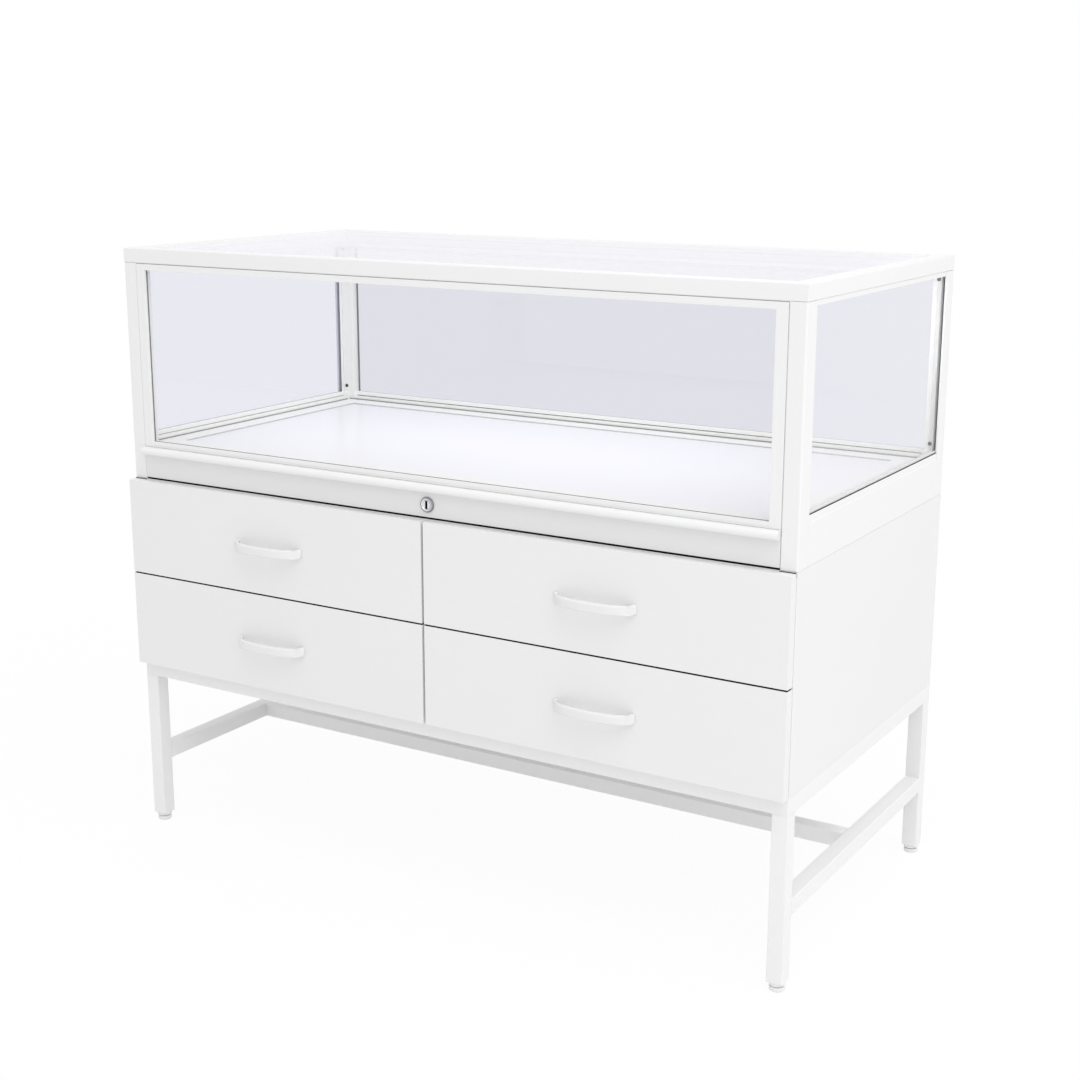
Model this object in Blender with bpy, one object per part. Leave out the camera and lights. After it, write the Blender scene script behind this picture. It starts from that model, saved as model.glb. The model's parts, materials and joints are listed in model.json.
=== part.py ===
"""White display case: a glazed vitrine with a pull-out tray, four drawers and a steel base.

Lengths are metres and +Z is up. The front faces -Y, and the origin lies on the floor under
the middle of the whole case, handles included.
"""
import math

import bmesh
import bpy

# Fits
FIT = 0.0003  # gap between pieces that touch
RUN = 0.0015  # gap beside pieces that slide
ARC_STEPS = 4  # straight pieces in a quarter round
TURN_STEPS = 32  # sides of a turned piece
CUT_MARGIN = 0.002  # reach of a cutter past the piece that it cuts

# Main sizes
CASE_WIDTH = 1.200
CASE_DEPTH = 0.584  # posts, cabinet and base, without the drawer fronts
BASE_HEIGHT = 0.295
CABINET_HEIGHT = 0.323
VITRINE_HEIGHT = 0.382

# Steel base
TUBE = 0.025
TUBE_WALL = 0.0015
TUBE_ROUND = 0.0015
STRETCHER_HEIGHT = 0.112  # floor to the underside of the stretchers
FOOT_HEIGHT = 0.014  # floor to the end of a leg
FOOT_RADIUS = 0.0115
FOOT_DISC = 0.007
FOOT_CHAMFER = 0.0015
FOOT_NECK = 0.002
FOOT_NECK_RADIUS = 0.0075
FOOT_COLLAR_RADIUS = 0.012
FOOT_PLUG = 0.015

# Cabinet
BOARD = 0.016
BOARD_ROUND = 0.001
BACK_BOARD = 0.008

# Drawers
FRONT_THICKNESS = 0.015
FRONT_STANDOFF = 0.002  # cabinet edge to the back of a drawer front
FRONT_REVEAL = 0.001  # drawer front to the outer edge of the cabinet
COLUMN_GAP = 0.004
ROW_GAP = 0.0025
BOX_WALL = 0.012
BOX_BOTTOM = 0.008
BOX_CLEARANCE = 0.004  # drawer box to the boards above and below it
BOX_REAR_CLEARANCE = 0.040
RUNNER_PLATE = 0.002
RUNNER_DEPTH = 0.011
RUNNER_RIB = 0.003
RUNNER_MARGIN = 0.010
RUNNER_END_GAP = 0.010
BATTEN_HEIGHT = 0.014

# Bow handles
HANDLE_CENTRES = 0.128
HANDLE_PROJECTION = 0.028
HANDLE_BAR_HEIGHT = 0.015
HANDLE_BAR_THICKNESS = 0.008
HANDLE_BAR_ROUND = 0.003
HANDLE_SQUARENESS = 2.3  # exponent of the bow's curve: 2 is an ellipse, more is squarer
HANDLE_STEPS = 24
HANDLE_DROP = 0.0015  # middle of a drawer front down to the middle of its handle

# Vitrine frame
POST_WIDTH = 0.025
POST_DEPTH = 0.032
POST_ROUND = 0.003
POST_REBATE = 0.009  # outer flange of a post to its inner face, above the rails
RAIL_STEP = 0.001  # post's inner face to the rail's inner face
SIDE_RAIL_HEIGHT = 0.062
GLAZING_LIP = 0.010
LIP_SETBACK = 0.0008
INNER_LIP = 0.004
INNER_STEP = 0.003
TOP_FRAME_HEIGHT = 0.0235
TOP_FRAME_WIDTH = 0.036
TOP_FRAME_RIM = 0.028  # outer edge of the top frame to the edge of the top glass
TOP_FRAME_ROUND = 0.002

# Glass
PANE = 0.005
PANE_INSET = 0.004  # outer face of a post to the outer face of a pane
PANE_SLOT = 0.006
PANE_EDGE_GAP = 0.001
TOP_PANE = 0.006

# Pull-out tray
TRAY_CLEARANCE = 0.003  # cabinet top to the underside of the tray
TRAY_FRONT_THICKNESS = 0.020
TRAY_FRONT_LIP = 0.006  # frame in front of the glass
TRAY_STILE = 0.0175
TRAY_TOP_BAR = 0.010
TRAY_BOTTOM_BAR = 0.009
TRAY_REBATE = 0.006
LOCK_RAIL_HEIGHT = 0.039
LOCK_RAIL_THICKNESS = 0.018
LEDGE_HEIGHT = 0.013
LEDGE_PROJECTION = 0.012
DECK_THICKNESS = 0.012
DECK_RISE = 0.003  # top of the ledge to the top of the deck
DECK_REAR_CLEARANCE = 0.004
TRAY_SIDE_THICKNESS = 0.010
CHANNEL_HEIGHT = 0.024
CHANNEL_DEPTH = 0.012
CHANNEL_WALL = 0.002

# Cam lock
LOCK_BEZEL_RADIUS = 0.012
LOCK_BEZEL = 0.003
LOCK_BEZEL_CHAMFER = 0.001
LOCK_BODY_RADIUS = 0.0095
LOCK_BORE_RADIUS = 0.0075
LOCK_HOLE_CLEARANCE = 0.0004
KEY_SLOT_WIDTH = 0.0042
KEY_SLOT_HEIGHT = 0.0126
KEY_SLOT_DEPTH = 0.003
CAM_LENGTH = 0.016
CAM_WIDTH = 0.010
CAM_THICKNESS = 0.003
STRIKE_THICKNESS = 0.002
STRIKE_WIDTH = 0.024
STRIKE_FOOT = 0.020

# Levels and planes worked out from the sizes
OVERALL_DEPTH = CASE_DEPTH + FRONT_STANDOFF + FRONT_THICKNESS + FIT + HANDLE_PROJECTION
HALF_WIDTH = CASE_WIDTH / 2
Y_BACK = OVERALL_DEPTH / 2
Y_CASE = Y_BACK - CASE_DEPTH
Y_MIDDLE = (Y_CASE + Y_BACK) / 2
Z_CABINET = BASE_HEIGHT + CABINET_HEIGHT
Z_TOP = Z_CABINET + VITRINE_HEIGHT
Z_FRAME = Z_TOP - TOP_FRAME_HEIGHT
RAIL_THICKNESS = POST_WIDTH - RAIL_STEP
SLOT_OUTER = PANE_INSET - FIT
SLOT_INNER = PANE_INSET + PANE + FIT
Z_TRAY = Z_CABINET + TRAY_CLEARANCE
Z_LEDGE = Z_TRAY + LOCK_RAIL_HEIGHT
Z_TRAY_FRAME = Z_LEDGE + LEDGE_HEIGHT + FIT
Z_DECK = Z_LEDGE + LEDGE_HEIGHT + DECK_RISE
TRAY_HALF_WIDTH = HALF_WIDTH - POST_WIDTH - RUN
Y_LOCK_RAIL_BACK = Y_CASE + LOCK_RAIL_THICKNESS
Y_CAM = Y_LOCK_RAIL_BACK + RUN + STRIKE_THICKNESS + RUN
Z_LOCK = Z_TRAY + LOCK_RAIL_HEIGHT / 2

SIDES = {"left": -1, "right": 1}
ENDS = {"front": -1, "rear": 1}
ROWS = ("lower", "upper")


def clear_scene():
    """Remove every object that the file starts with."""
    for existing in list(bpy.data.objects):
        bpy.data.objects.remove(existing, do_unlink=True)


def make_material(name, colour, roughness, metallic=0.0, transmission=0.0):
    """Return a Principled material."""
    material = bpy.data.materials.new(name)
    material.use_nodes = True
    shader = material.node_tree.nodes["Principled BSDF"]
    shader.inputs["Base Color"].default_value = colour
    shader.inputs["Roughness"].default_value = roughness
    shader.inputs["Metallic"].default_value = metallic
    shader.inputs["Transmission Weight"].default_value = transmission
    return material


def make_materials():
    """Return the finishes of the case by name."""
    return {
        "powder": make_material("white_powder_coat", (0.85, 0.85, 0.85, 1.0), 0.45),
        "lacquer": make_material("white_lacquered_board", (0.86, 0.86, 0.86, 1.0), 0.40),
        "deck": make_material("glossy_white_deck", (0.90, 0.90, 0.92, 1.0), 0.12),
        "glass": make_material("clear_glass", (0.93, 0.93, 0.97, 1.0), 0.02, transmission=1.0),
        "chrome": make_material("polished_chrome", (0.80, 0.80, 0.82, 1.0), 0.12, metallic=1.0),
        "steel": make_material("zinc_steel", (0.60, 0.61, 0.62, 1.0), 0.35, metallic=1.0),
        "plastic": make_material("white_plastic", (0.82, 0.82, 0.82, 1.0), 0.50),
    }


def add_piece(name, mesh_data, position, material, parent=None):
    """Turn a bmesh, whose own origin is `position` in the case, into a named object."""
    bmesh.ops.recalc_face_normals(mesh_data, faces=mesh_data.faces)
    mesh = bpy.data.meshes.new(name)
    mesh_data.to_mesh(mesh)
    mesh_data.free()
    piece = bpy.data.objects.new(name, mesh)
    bpy.context.scene.collection.objects.link(piece)
    mesh.materials.append(material)
    offset = parent.location if parent else (0.0, 0.0, 0.0)
    piece.parent = parent
    piece.location = [here - there for here, there in zip(position, offset)]
    return piece


def shade_round(piece, angle=math.radians(35)):
    """Shade a turned or swept piece smooth, with its sharp edges kept."""
    piece.data.shade_smooth()
    piece.data.set_sharp_from_angle(angle=angle)


def add_axis(name, position):
    """Add an empty that stands for the path or axis of a moving group."""
    empty = bpy.data.objects.new(name, None)
    empty.location = position
    bpy.context.scene.collection.objects.link(empty)
    return empty


def box_mesh(size, round_edges=0.0):
    """Return a block centred on its own origin, with its edges eased if asked."""
    mesh_data = bmesh.new()
    bmesh.ops.create_cube(mesh_data, size=1.0)
    bmesh.ops.scale(mesh_data, vec=size, verts=mesh_data.verts)
    if round_edges:
        bmesh.ops.bevel(
            mesh_data, geom=mesh_data.edges[:], offset=round_edges, segments=2, profile=0.5,
            affect="EDGES",
        )
    return mesh_data


def add_box(name, low, high, material, parent=None, round_edges=0.0):
    """Add a block between two corners."""
    size = [top - bottom for bottom, top in zip(low, high)]
    middle = [(bottom + top) / 2 for bottom, top in zip(low, high)]
    return add_piece(name, box_mesh(size, round_edges), middle, material, parent)


def along(axis, across, distance):
    """Return a point from a 2D outline point and a distance along an axis."""
    first, second = across
    return {
        "x": (distance, first, second),
        "y": (first, distance, second),
        "z": (first, second, distance),
    }[axis]


def prism_mesh(outline, axis, start, end, origin):
    """Return an outline extruded along an axis, measured from `origin`."""
    mesh_data = bmesh.new()
    rings = []
    for distance in (start, end):
        points = [along(axis, point, distance) for point in outline]
        rings.append([mesh_data.verts.new([p - o for p, o in zip(point, origin)]) for point in points])
    count = len(outline)
    mesh_data.faces.new(rings[0])
    mesh_data.faces.new(rings[1])
    for index in range(count):
        following = (index + 1) % count
        mesh_data.faces.new(
            (rings[0][index], rings[0][following], rings[1][following], rings[1][index])
        )
    return mesh_data


def add_prism(name, outline, axis, start, end, material, parent=None):
    """Add an extruded outline whose origin is at the middle of its length."""
    origin = along(axis, outline[0], (start + end) / 2)
    return add_piece(name, prism_mesh(outline, axis, start, end, origin), origin, material, parent)


def mirrored(outline, side):
    """Return an outline drawn for the right-hand side, turned over for the left."""
    return [(side * across, up) for across, up in outline]


def ring_mesh(loops, axis):
    """Return a closed ring through rectangles, each given as low, high and a level on an axis."""
    mesh_data = bmesh.new()
    rings = []
    for (low_a, low_b), (high_a, high_b), level in loops:
        corners = ((low_a, low_b), (high_a, low_b), (high_a, high_b), (low_a, high_b))
        rings.append([mesh_data.verts.new(along(axis, corner, level)) for corner in corners])
    for index, ring in enumerate(rings):
        next_ring = rings[(index + 1) % len(rings)]
        for corner in range(4):
            following = (corner + 1) % 4
            mesh_data.faces.new(
                (ring[corner], ring[following], next_ring[following], next_ring[corner])
            )
    return mesh_data


def turned_mesh(profile, axis, hollow=False):
    """Return a profile of (radius, distance) points turned about an axis through the origin."""
    mesh_data = bmesh.new()
    rings = []
    for radius, distance in profile:
        if radius == 0.0:
            rings.append([mesh_data.verts.new(along(axis, (0.0, 0.0), distance))])
            continue
        angles = [2 * math.pi * step / TURN_STEPS for step in range(TURN_STEPS)]
        circle = [(radius * math.cos(angle), radius * math.sin(angle)) for angle in angles]
        rings.append([mesh_data.verts.new(along(axis, point, distance)) for point in circle])
    pairs = list(zip(rings, rings[1:]))
    if hollow:
        pairs.append((rings[-1], rings[0]))
    for ring, next_ring in pairs:
        for step in range(TURN_STEPS):
            following = (step + 1) % TURN_STEPS
            corners = [ring[step % len(ring)], ring[following % len(ring)]]
            corners += [next_ring[following % len(next_ring)], next_ring[step % len(next_ring)]]
            mesh_data.faces.new(list(dict.fromkeys(corners)))
    return mesh_data


def quarter_round(centre, radius, start_angle, sweep=math.pi / 2, steps=ARC_STEPS):
    """Return the points of an arc."""
    angles = [start_angle + sweep * step / steps for step in range(steps + 1)]
    return [(centre[0] + radius * math.cos(a), centre[1] + radius * math.sin(a)) for a in angles]


def combine(piece, other, operation):
    """Join or cut a piece with another one, which is used up."""
    modifier = piece.modifiers.new(operation.lower(), "BOOLEAN")
    modifier.operation = operation
    modifier.solver = "EXACT"
    modifier.object = other
    bpy.context.view_layer.update()
    evaluated = piece.evaluated_get(bpy.context.evaluated_depsgraph_get())
    mesh = bpy.data.meshes.new_from_object(evaluated)
    piece.modifiers.remove(modifier)
    piece.data = mesh
    bpy.data.objects.remove(other, do_unlink=True)


def tube_mesh(length, mitred):
    """Return a square tube along X whose outer face is at Y = 0 and underside at Z = 0."""
    near = TUBE_ROUND
    far = TUBE - TUBE_ROUND
    centres = ((near, near), (far, near), (far, far), (near, far))
    arcs = [
        quarter_round(centre, TUBE_ROUND, math.pi + corner * math.pi / 2, steps=ARC_STEPS // 2)
        for corner, centre in enumerate(centres)
    ]
    low = TUBE_WALL
    high = TUBE - TUBE_WALL
    bore = ((low, low), (high, low), (high, high), (low, high))
    mesh_data = bmesh.new()

    def end_vertex(end, point):
        depth, height = point
        cut = depth + FIT if mitred else 0.0
        return mesh_data.verts.new((end * (length / 2 - cut), depth, height))

    ends = []
    for end in (-1, 1):
        outer = [[end_vertex(end, point) for point in arc] for arc in arcs]
        inner = [end_vertex(end, point) for point in bore]
        for corner in range(4):
            following = (corner + 1) % 4
            mesh_data.faces.new([inner[corner]] + outer[corner])
            mesh_data.faces.new(
                (inner[corner], outer[corner][-1], outer[following][0], inner[following])
            )
        ends.append((sum(outer, []), inner))
    for first, last in zip(*ends):
        for index in range(len(first)):
            following = (index + 1) % len(first)
            mesh_data.faces.new((first[index], first[following], last[following], last[index]))
    return mesh_data


def build_base_frame(finish):
    """Add the mitred top rails, the legs, the stretchers and the feet."""
    level = BASE_HEIGHT - TUBE
    rails = {
        "front": (CASE_WIDTH, (0.0, Y_CASE, level), 0),
        "right": (CASE_DEPTH, (HALF_WIDTH, Y_MIDDLE, level), 1),
        "rear": (CASE_WIDTH, (0.0, Y_BACK, level), 2),
        "left": (CASE_DEPTH, (-HALF_WIDTH, Y_MIDDLE, level), 3),
    }
    for side, (length, position, quarter_turns) in rails.items():
        rail = add_piece(f"base_rail_{side}", tube_mesh(length, True), position, finish["powder"])
        rail.rotation_euler.z = quarter_turns * math.pi / 2
    leg_length = level - FIT - FOOT_HEIGHT
    for end, end_sign in ENDS.items():
        for side, side_sign in SIDES.items():
            add_leg(f"{end}_{side}", side_sign, end_sign, leg_length, finish)
    side_span = CASE_DEPTH - 2 * (TUBE + FIT)
    for side, sign in SIDES.items():
        position = (sign * HALF_WIDTH, Y_MIDDLE, STRETCHER_HEIGHT)
        stretcher = add_piece(
            f"side_stretcher_{side}", tube_mesh(side_span, False), position, finish["powder"]
        )
        stretcher.rotation_euler.z = sign * math.pi / 2
    centre_span = CASE_WIDTH - 2 * (TUBE + FIT)
    position = (0.0, Y_MIDDLE - TUBE / 2, STRETCHER_HEIGHT)
    add_piece("centre_stretcher", tube_mesh(centre_span, False), position, finish["powder"])


def add_leg(corner, side_sign, end_sign, length, finish):
    """Add one leg, flush with the cabinet's corner, and the glide foot in its end."""
    inner_x = side_sign * (HALF_WIDTH - TUBE)
    inner_y = Y_MIDDLE + end_sign * (CASE_DEPTH / 2 - TUBE)
    low_x = min(inner_x, side_sign * HALF_WIDTH)
    low_y = min(inner_y, Y_MIDDLE + end_sign * CASE_DEPTH / 2)
    position = (low_x + TUBE, low_y, FOOT_HEIGHT + length / 2)
    leg = add_piece(f"leg_{corner}", tube_mesh(length, False), position, finish["powder"])
    leg.rotation_euler.y = -math.pi / 2
    plug_radius = TUBE / 2 - TUBE_WALL - FIT
    profile = [
        (0.0, 0.0),
        (FOOT_RADIUS - FOOT_CHAMFER, 0.0),
        (FOOT_RADIUS, FOOT_CHAMFER),
        (FOOT_RADIUS, FOOT_DISC),
        (FOOT_NECK_RADIUS, FOOT_DISC),
        (FOOT_NECK_RADIUS, FOOT_DISC + FOOT_NECK),
        (FOOT_COLLAR_RADIUS, FOOT_DISC + FOOT_NECK),
        (FOOT_COLLAR_RADIUS, FOOT_HEIGHT - FIT),
        (plug_radius, FOOT_HEIGHT - FIT),
        (plug_radius, FOOT_HEIGHT + FOOT_PLUG),
        (0.0, FOOT_HEIGHT + FOOT_PLUG),
    ]
    position = (low_x + TUBE / 2, low_y + TUBE / 2, 0.0)
    foot = add_piece(f"foot_{corner}", turned_mesh(profile, "z"), position, finish["plastic"])
    shade_round(foot)


def build_cabinet(finish):
    """Add the six boards of the cabinet."""
    low = BASE_HEIGHT + FIT
    inner_x = HALF_WIDTH - BOARD - FIT
    board_back = Y_BACK - BACK_BOARD - FIT
    for side, sign in SIDES.items():
        xs = sorted((sign * HALF_WIDTH, sign * (HALF_WIDTH - BOARD)))
        add_box(
            f"cabinet_side_{side}", (xs[0], Y_CASE, low), (xs[1], Y_BACK, Z_CABINET),
            finish["lacquer"], round_edges=BOARD_ROUND,
        )
    add_box(
        "cabinet_bottom", (-inner_x, Y_CASE, low), (inner_x, board_back, BASE_HEIGHT + BOARD),
        finish["lacquer"],
    )
    add_box(
        "cabinet_top", (-inner_x, Y_CASE, Z_CABINET - BOARD), (inner_x, board_back, Z_CABINET),
        finish["lacquer"],
    )
    add_box(
        "cabinet_back", (-inner_x, Y_BACK - BACK_BOARD, low), (inner_x, Y_BACK, Z_CABINET),
        finish["lacquer"],
    )
    add_box(
        "cabinet_divider",
        (-BOARD / 2, Y_CASE, BASE_HEIGHT + BOARD + FIT),
        (BOARD / 2, board_back, Z_CABINET - BOARD - FIT),
        finish["lacquer"],
    )


def front_levels():
    """Return the bottom and top of the drawer fronts, by row."""
    height = (CABINET_HEIGHT - 2 * FRONT_REVEAL - ROW_GAP) / 2
    bottom = BASE_HEIGHT + FRONT_REVEAL
    return {
        row: (bottom + index * (height + ROW_GAP), bottom + index * (height + ROW_GAP) + height)
        for index, row in enumerate(ROWS)
    }


def box_levels(row):
    """Return the bottom and top of the drawer boxes of a row."""
    bottom, top = front_levels()[row]
    margin = BOARD + BOX_CLEARANCE
    return bottom + margin, top - margin


def runner_level(row):
    """Return the height of the middle of a row's runner channels."""
    bottom, top = box_levels(row)
    return (bottom + top) / 2


def bay_faces(side_sign):
    """Return the inner faces of a drawer bay: beside the divider and at the cabinet's side."""
    return side_sign * BOARD / 2, side_sign * (HALF_WIDTH - BOARD)


def build_runners(finish):
    """Add one plate per bay wall, with a channel for the upper and the lower drawer."""
    channel = BATTEN_HEIGHT + 2 * FIT
    rib_reach = channel / 2 + RUNNER_RIB
    bottom = runner_level("lower") - rib_reach - RUNNER_MARGIN
    top = runner_level("upper") + rib_reach + RUNNER_MARGIN
    depths = (FIT, FIT + RUNNER_PLATE, FIT + RUNNER_DEPTH)
    start = Y_CASE + RUNNER_END_GAP
    end = Y_BACK - BACK_BOARD - RUNNER_END_GAP
    for side, sign in SIDES.items():
        divider_face, side_face = bay_faces(sign)
        walls = {f"runner_divider_{side}": (divider_face, sign), f"runner_side_{side}": (side_face, -sign)}
        for name, (face, inward) in walls.items():
            back, plate, lip = (face + inward * depth for depth in depths)
            outline = [(back, bottom), (back, top), (plate, top)]
            for row in reversed(ROWS):
                for rib_top in (runner_level(row) + rib_reach, runner_level(row) - channel / 2):
                    rib_bottom = rib_top - RUNNER_RIB
                    outline += [(plate, rib_top), (lip, rib_top), (lip, rib_bottom), (plate, rib_bottom)]
            outline.append((plate, bottom))
            add_prism(name, outline, "y", start, end, finish["steel"])


def build_drawers(finish):
    """Add the four drawers, each on an empty that follows its slide."""
    face = Y_CASE - FRONT_STANDOFF - FRONT_THICKNESS
    for side, sign in SIDES.items():
        for row in ROWS:
            name = f"drawer_{row}_{side}"
            bottom, top = front_levels()[row]
            inner_x = COLUMN_GAP / 2
            outer_x = HALF_WIDTH - FRONT_REVEAL
            xs = sorted((sign * inner_x, sign * outer_x))
            middle = (sum(xs) / 2, face, (bottom + top) / 2)
            slide = add_axis(f"{name}_slide", middle)
            add_box(
                f"{name}_front", (xs[0], face, bottom), (xs[1], face + FRONT_THICKNESS, top),
                finish["lacquer"], slide, round_edges=BOARD_ROUND,
            )
            add_drawer_box(f"{name}_box", row, sign, slide, finish)
            handle = add_piece(
                f"{name}_handle", handle_mesh(), (middle[0], face - FIT, middle[2] - HANDLE_DROP),
                finish["powder"], slide,
            )
            shade_round(handle)


def add_drawer_box(name, row, side_sign, slide, finish):
    """Add a drawer's open-topped box, with a batten on each side that rides in a runner."""
    bottom, top = box_levels(row)
    batten_low = runner_level(row) - BATTEN_HEIGHT / 2
    batten_high = runner_level(row) + BATTEN_HEIGHT / 2
    low_face, high_face = sorted(bay_faces(side_sign))
    wall_gap = FIT + RUNNER_DEPTH + RUN
    batten_gap = FIT + RUNNER_PLATE + RUN
    outline = [
        (low_face + wall_gap, bottom),
        (high_face - wall_gap, bottom),
        (high_face - wall_gap, batten_low),
        (high_face - batten_gap, batten_low),
        (high_face - batten_gap, batten_high),
        (high_face - wall_gap, batten_high),
        (high_face - wall_gap, top),
        (low_face + wall_gap, top),
        (low_face + wall_gap, batten_high),
        (low_face + batten_gap, batten_high),
        (low_face + batten_gap, batten_low),
        (low_face + wall_gap, batten_low),
    ]
    start = Y_CASE - FRONT_STANDOFF + FIT
    end = Y_BACK - BACK_BOARD - BOX_REAR_CLEARANCE
    origin = ((low_face + high_face) / 2, (start + end) / 2, bottom)
    mesh_data = prism_mesh(outline, "y", start, end, origin)
    bmesh.ops.recalc_face_normals(mesh_data, faces=mesh_data.faces)
    mouth = max(mesh_data.faces, key=lambda each: (each.normal.z, each.calc_center_median().z))
    bmesh.ops.inset_region(mesh_data, faces=[mouth], thickness=BOX_WALL, use_even_offset=True)
    floor = bmesh.ops.extrude_discrete_faces(mesh_data, faces=[mouth])["faces"][0]
    depth = top - bottom - BOX_BOTTOM
    bmesh.ops.translate(mesh_data, verts=floor.verts, vec=(0.0, 0.0, -depth))
    add_piece(name, mesh_data, origin, finish["lacquer"], slide)


def handle_mesh():
    """Return a bow handle whose feet stand on the plane Y = 0 and whose bar lies towards -Y."""
    half_length = HANDLE_CENTRES / 2
    reach = HANDLE_PROJECTION - HANDLE_BAR_THICKNESS / 2
    power = 2 / HANDLE_SQUARENESS
    path = []
    for step in range(HANDLE_STEPS + 1):
        angle = math.pi * step / HANDLE_STEPS
        cosine = math.cos(angle)
        across = math.copysign(abs(cosine) ** power, cosine) * half_length
        path.append((across, -reach * max(math.sin(angle), 0.0) ** power))
    path[0] = (half_length, 0.0)
    path[-1] = (-half_length, 0.0)
    section = rounded_section(HANDLE_BAR_THICKNESS, HANDLE_BAR_HEIGHT, HANDLE_BAR_ROUND)
    mesh_data = bmesh.new()
    rings = []
    for step, (across, out) in enumerate(path):
        normal = path_normal(path, step)
        rings.append(
            [mesh_data.verts.new((across + normal[0] * u, out + normal[1] * u, v)) for u, v in section]
        )
    for ring, next_ring in zip(rings, rings[1:]):
        for index in range(len(section)):
            following = (index + 1) % len(section)
            mesh_data.faces.new((ring[index], ring[following], next_ring[following], next_ring[index]))
    mesh_data.faces.new(rings[0])
    mesh_data.faces.new(rings[-1])
    return mesh_data


def path_normal(path, step):
    """Return the unit normal of a flat path, square to the mounting plane at its two ends."""
    if step in (0, len(path) - 1):
        return (1.0, 0.0) if step == 0 else (-1.0, 0.0)
    along_x = path[step + 1][0] - path[step - 1][0]
    along_y = path[step + 1][1] - path[step - 1][1]
    length = math.hypot(along_x, along_y)
    return -along_y / length, along_x / length


def rounded_section(width, height, radius):
    """Return the outline of a rounded rectangle centred on its origin."""
    corners = (
        (width / 2 - radius, height / 2 - radius, 0.0),
        (-width / 2 + radius, height / 2 - radius, math.pi / 2),
        (-width / 2 + radius, -height / 2 + radius, math.pi),
        (width / 2 - radius, -height / 2 + radius, 3 * math.pi / 2),
    )
    points = []
    for across, up, start in corners:
        points += quarter_round((across, up), radius, start, steps=ARC_STEPS // 2)
    return points


def build_vitrine(finish):
    """Add the posts, the bottom rails, the top frame and the four panes."""
    for end, end_sign in ENDS.items():
        for side, side_sign in SIDES.items():
            add_post(f"post_{end}_{side}", side_sign, end_sign, finish)
    add_bottom_rails(finish)
    add_top_frame(finish)
    add_panes(finish)


def add_post(name, side_sign, end_sign, finish):
    """Add a corner post: a rounded edge, grooves for the panes and a flange outside the side pane."""
    slot_floor_x = POST_WIDTH - PANE_SLOT
    slot_floor_y = POST_DEPTH - POST_REBATE - PANE_SLOT
    outline = quarter_round((POST_ROUND, POST_ROUND), POST_ROUND, math.pi)
    if end_sign > 0:
        outline += [
            (POST_WIDTH, 0.0),
            (POST_WIDTH, SLOT_OUTER),
            (slot_floor_x, SLOT_OUTER),
            (slot_floor_x, SLOT_INNER),
            (POST_WIDTH, SLOT_INNER),
        ]
    else:
        outline.append((POST_WIDTH, 0.0))
    outline += [
        (POST_WIDTH, POST_DEPTH),
        (SLOT_INNER, POST_DEPTH),
        (SLOT_INNER, slot_floor_y),
        (SLOT_OUTER, slot_floor_y),
        (SLOT_OUTER, POST_DEPTH),
        (0.0, POST_DEPTH),
    ]

    def placed(across, inward):
        """Return a point of the section, measured in from the post's outer faces."""
        return side_sign * (HALF_WIDTH - across), Y_MIDDLE + end_sign * (CASE_DEPTH / 2 - inward)

    section = [placed(*point) for point in outline]
    post = add_prism(name, section, "z", Z_CABINET + FIT, Z_FRAME - FIT, finish["powder"])
    near = placed(PANE_INSET + PANE / 2, POST_DEPTH - POST_REBATE)
    far = placed(POST_WIDTH + CUT_MARGIN, POST_DEPTH + CUT_MARGIN)
    opening = [near, (far[0], near[1]), far, (near[0], far[1])]
    lip = Z_CABINET + SIDE_RAIL_HEIGHT + GLAZING_LIP
    cutter = add_prism(f"{name}_rebate", opening, "z", lip, Z_FRAME + CUT_MARGIN, finish["powder"])
    combine(post, cutter, "DIFFERENCE")


def rail_outline():
    """Return the section of a bottom rail: distance in from the outer face, and height."""
    low = Z_CABINET + FIT
    shoulder = Z_CABINET + SIDE_RAIL_HEIGHT
    lip = shoulder + GLAZING_LIP
    return [
        (0.0, low),
        (0.0, shoulder),
        (LIP_SETBACK, shoulder),
        (LIP_SETBACK, lip),
        (SLOT_OUTER, lip),
        (SLOT_OUTER, shoulder - PANE_SLOT),
        (SLOT_INNER, shoulder - PANE_SLOT),
        (SLOT_INNER, lip),
        (SLOT_INNER + INNER_LIP, lip),
        (SLOT_INNER + INNER_LIP, shoulder + INNER_STEP),
        (RAIL_THICKNESS, shoulder + INNER_STEP),
        (RAIL_THICKNESS, low),
    ]


def add_bottom_rails(finish):
    """Add the two side rails and the rear rail, each between two posts."""
    start = Y_CASE + POST_DEPTH + FIT
    end = Y_BACK - POST_DEPTH - FIT
    for side, sign in SIDES.items():
        outline = [(sign * (HALF_WIDTH - inward), height) for inward, height in rail_outline()]
        add_prism(f"bottom_rail_{side}", outline, "y", start, end, finish["powder"])
    reach = HALF_WIDTH - POST_WIDTH - FIT
    outline = [(Y_BACK - inward, height) for inward, height in rail_outline()]
    add_prism("bottom_rail_rear", outline, "x", -reach, reach, finish["powder"])


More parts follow.
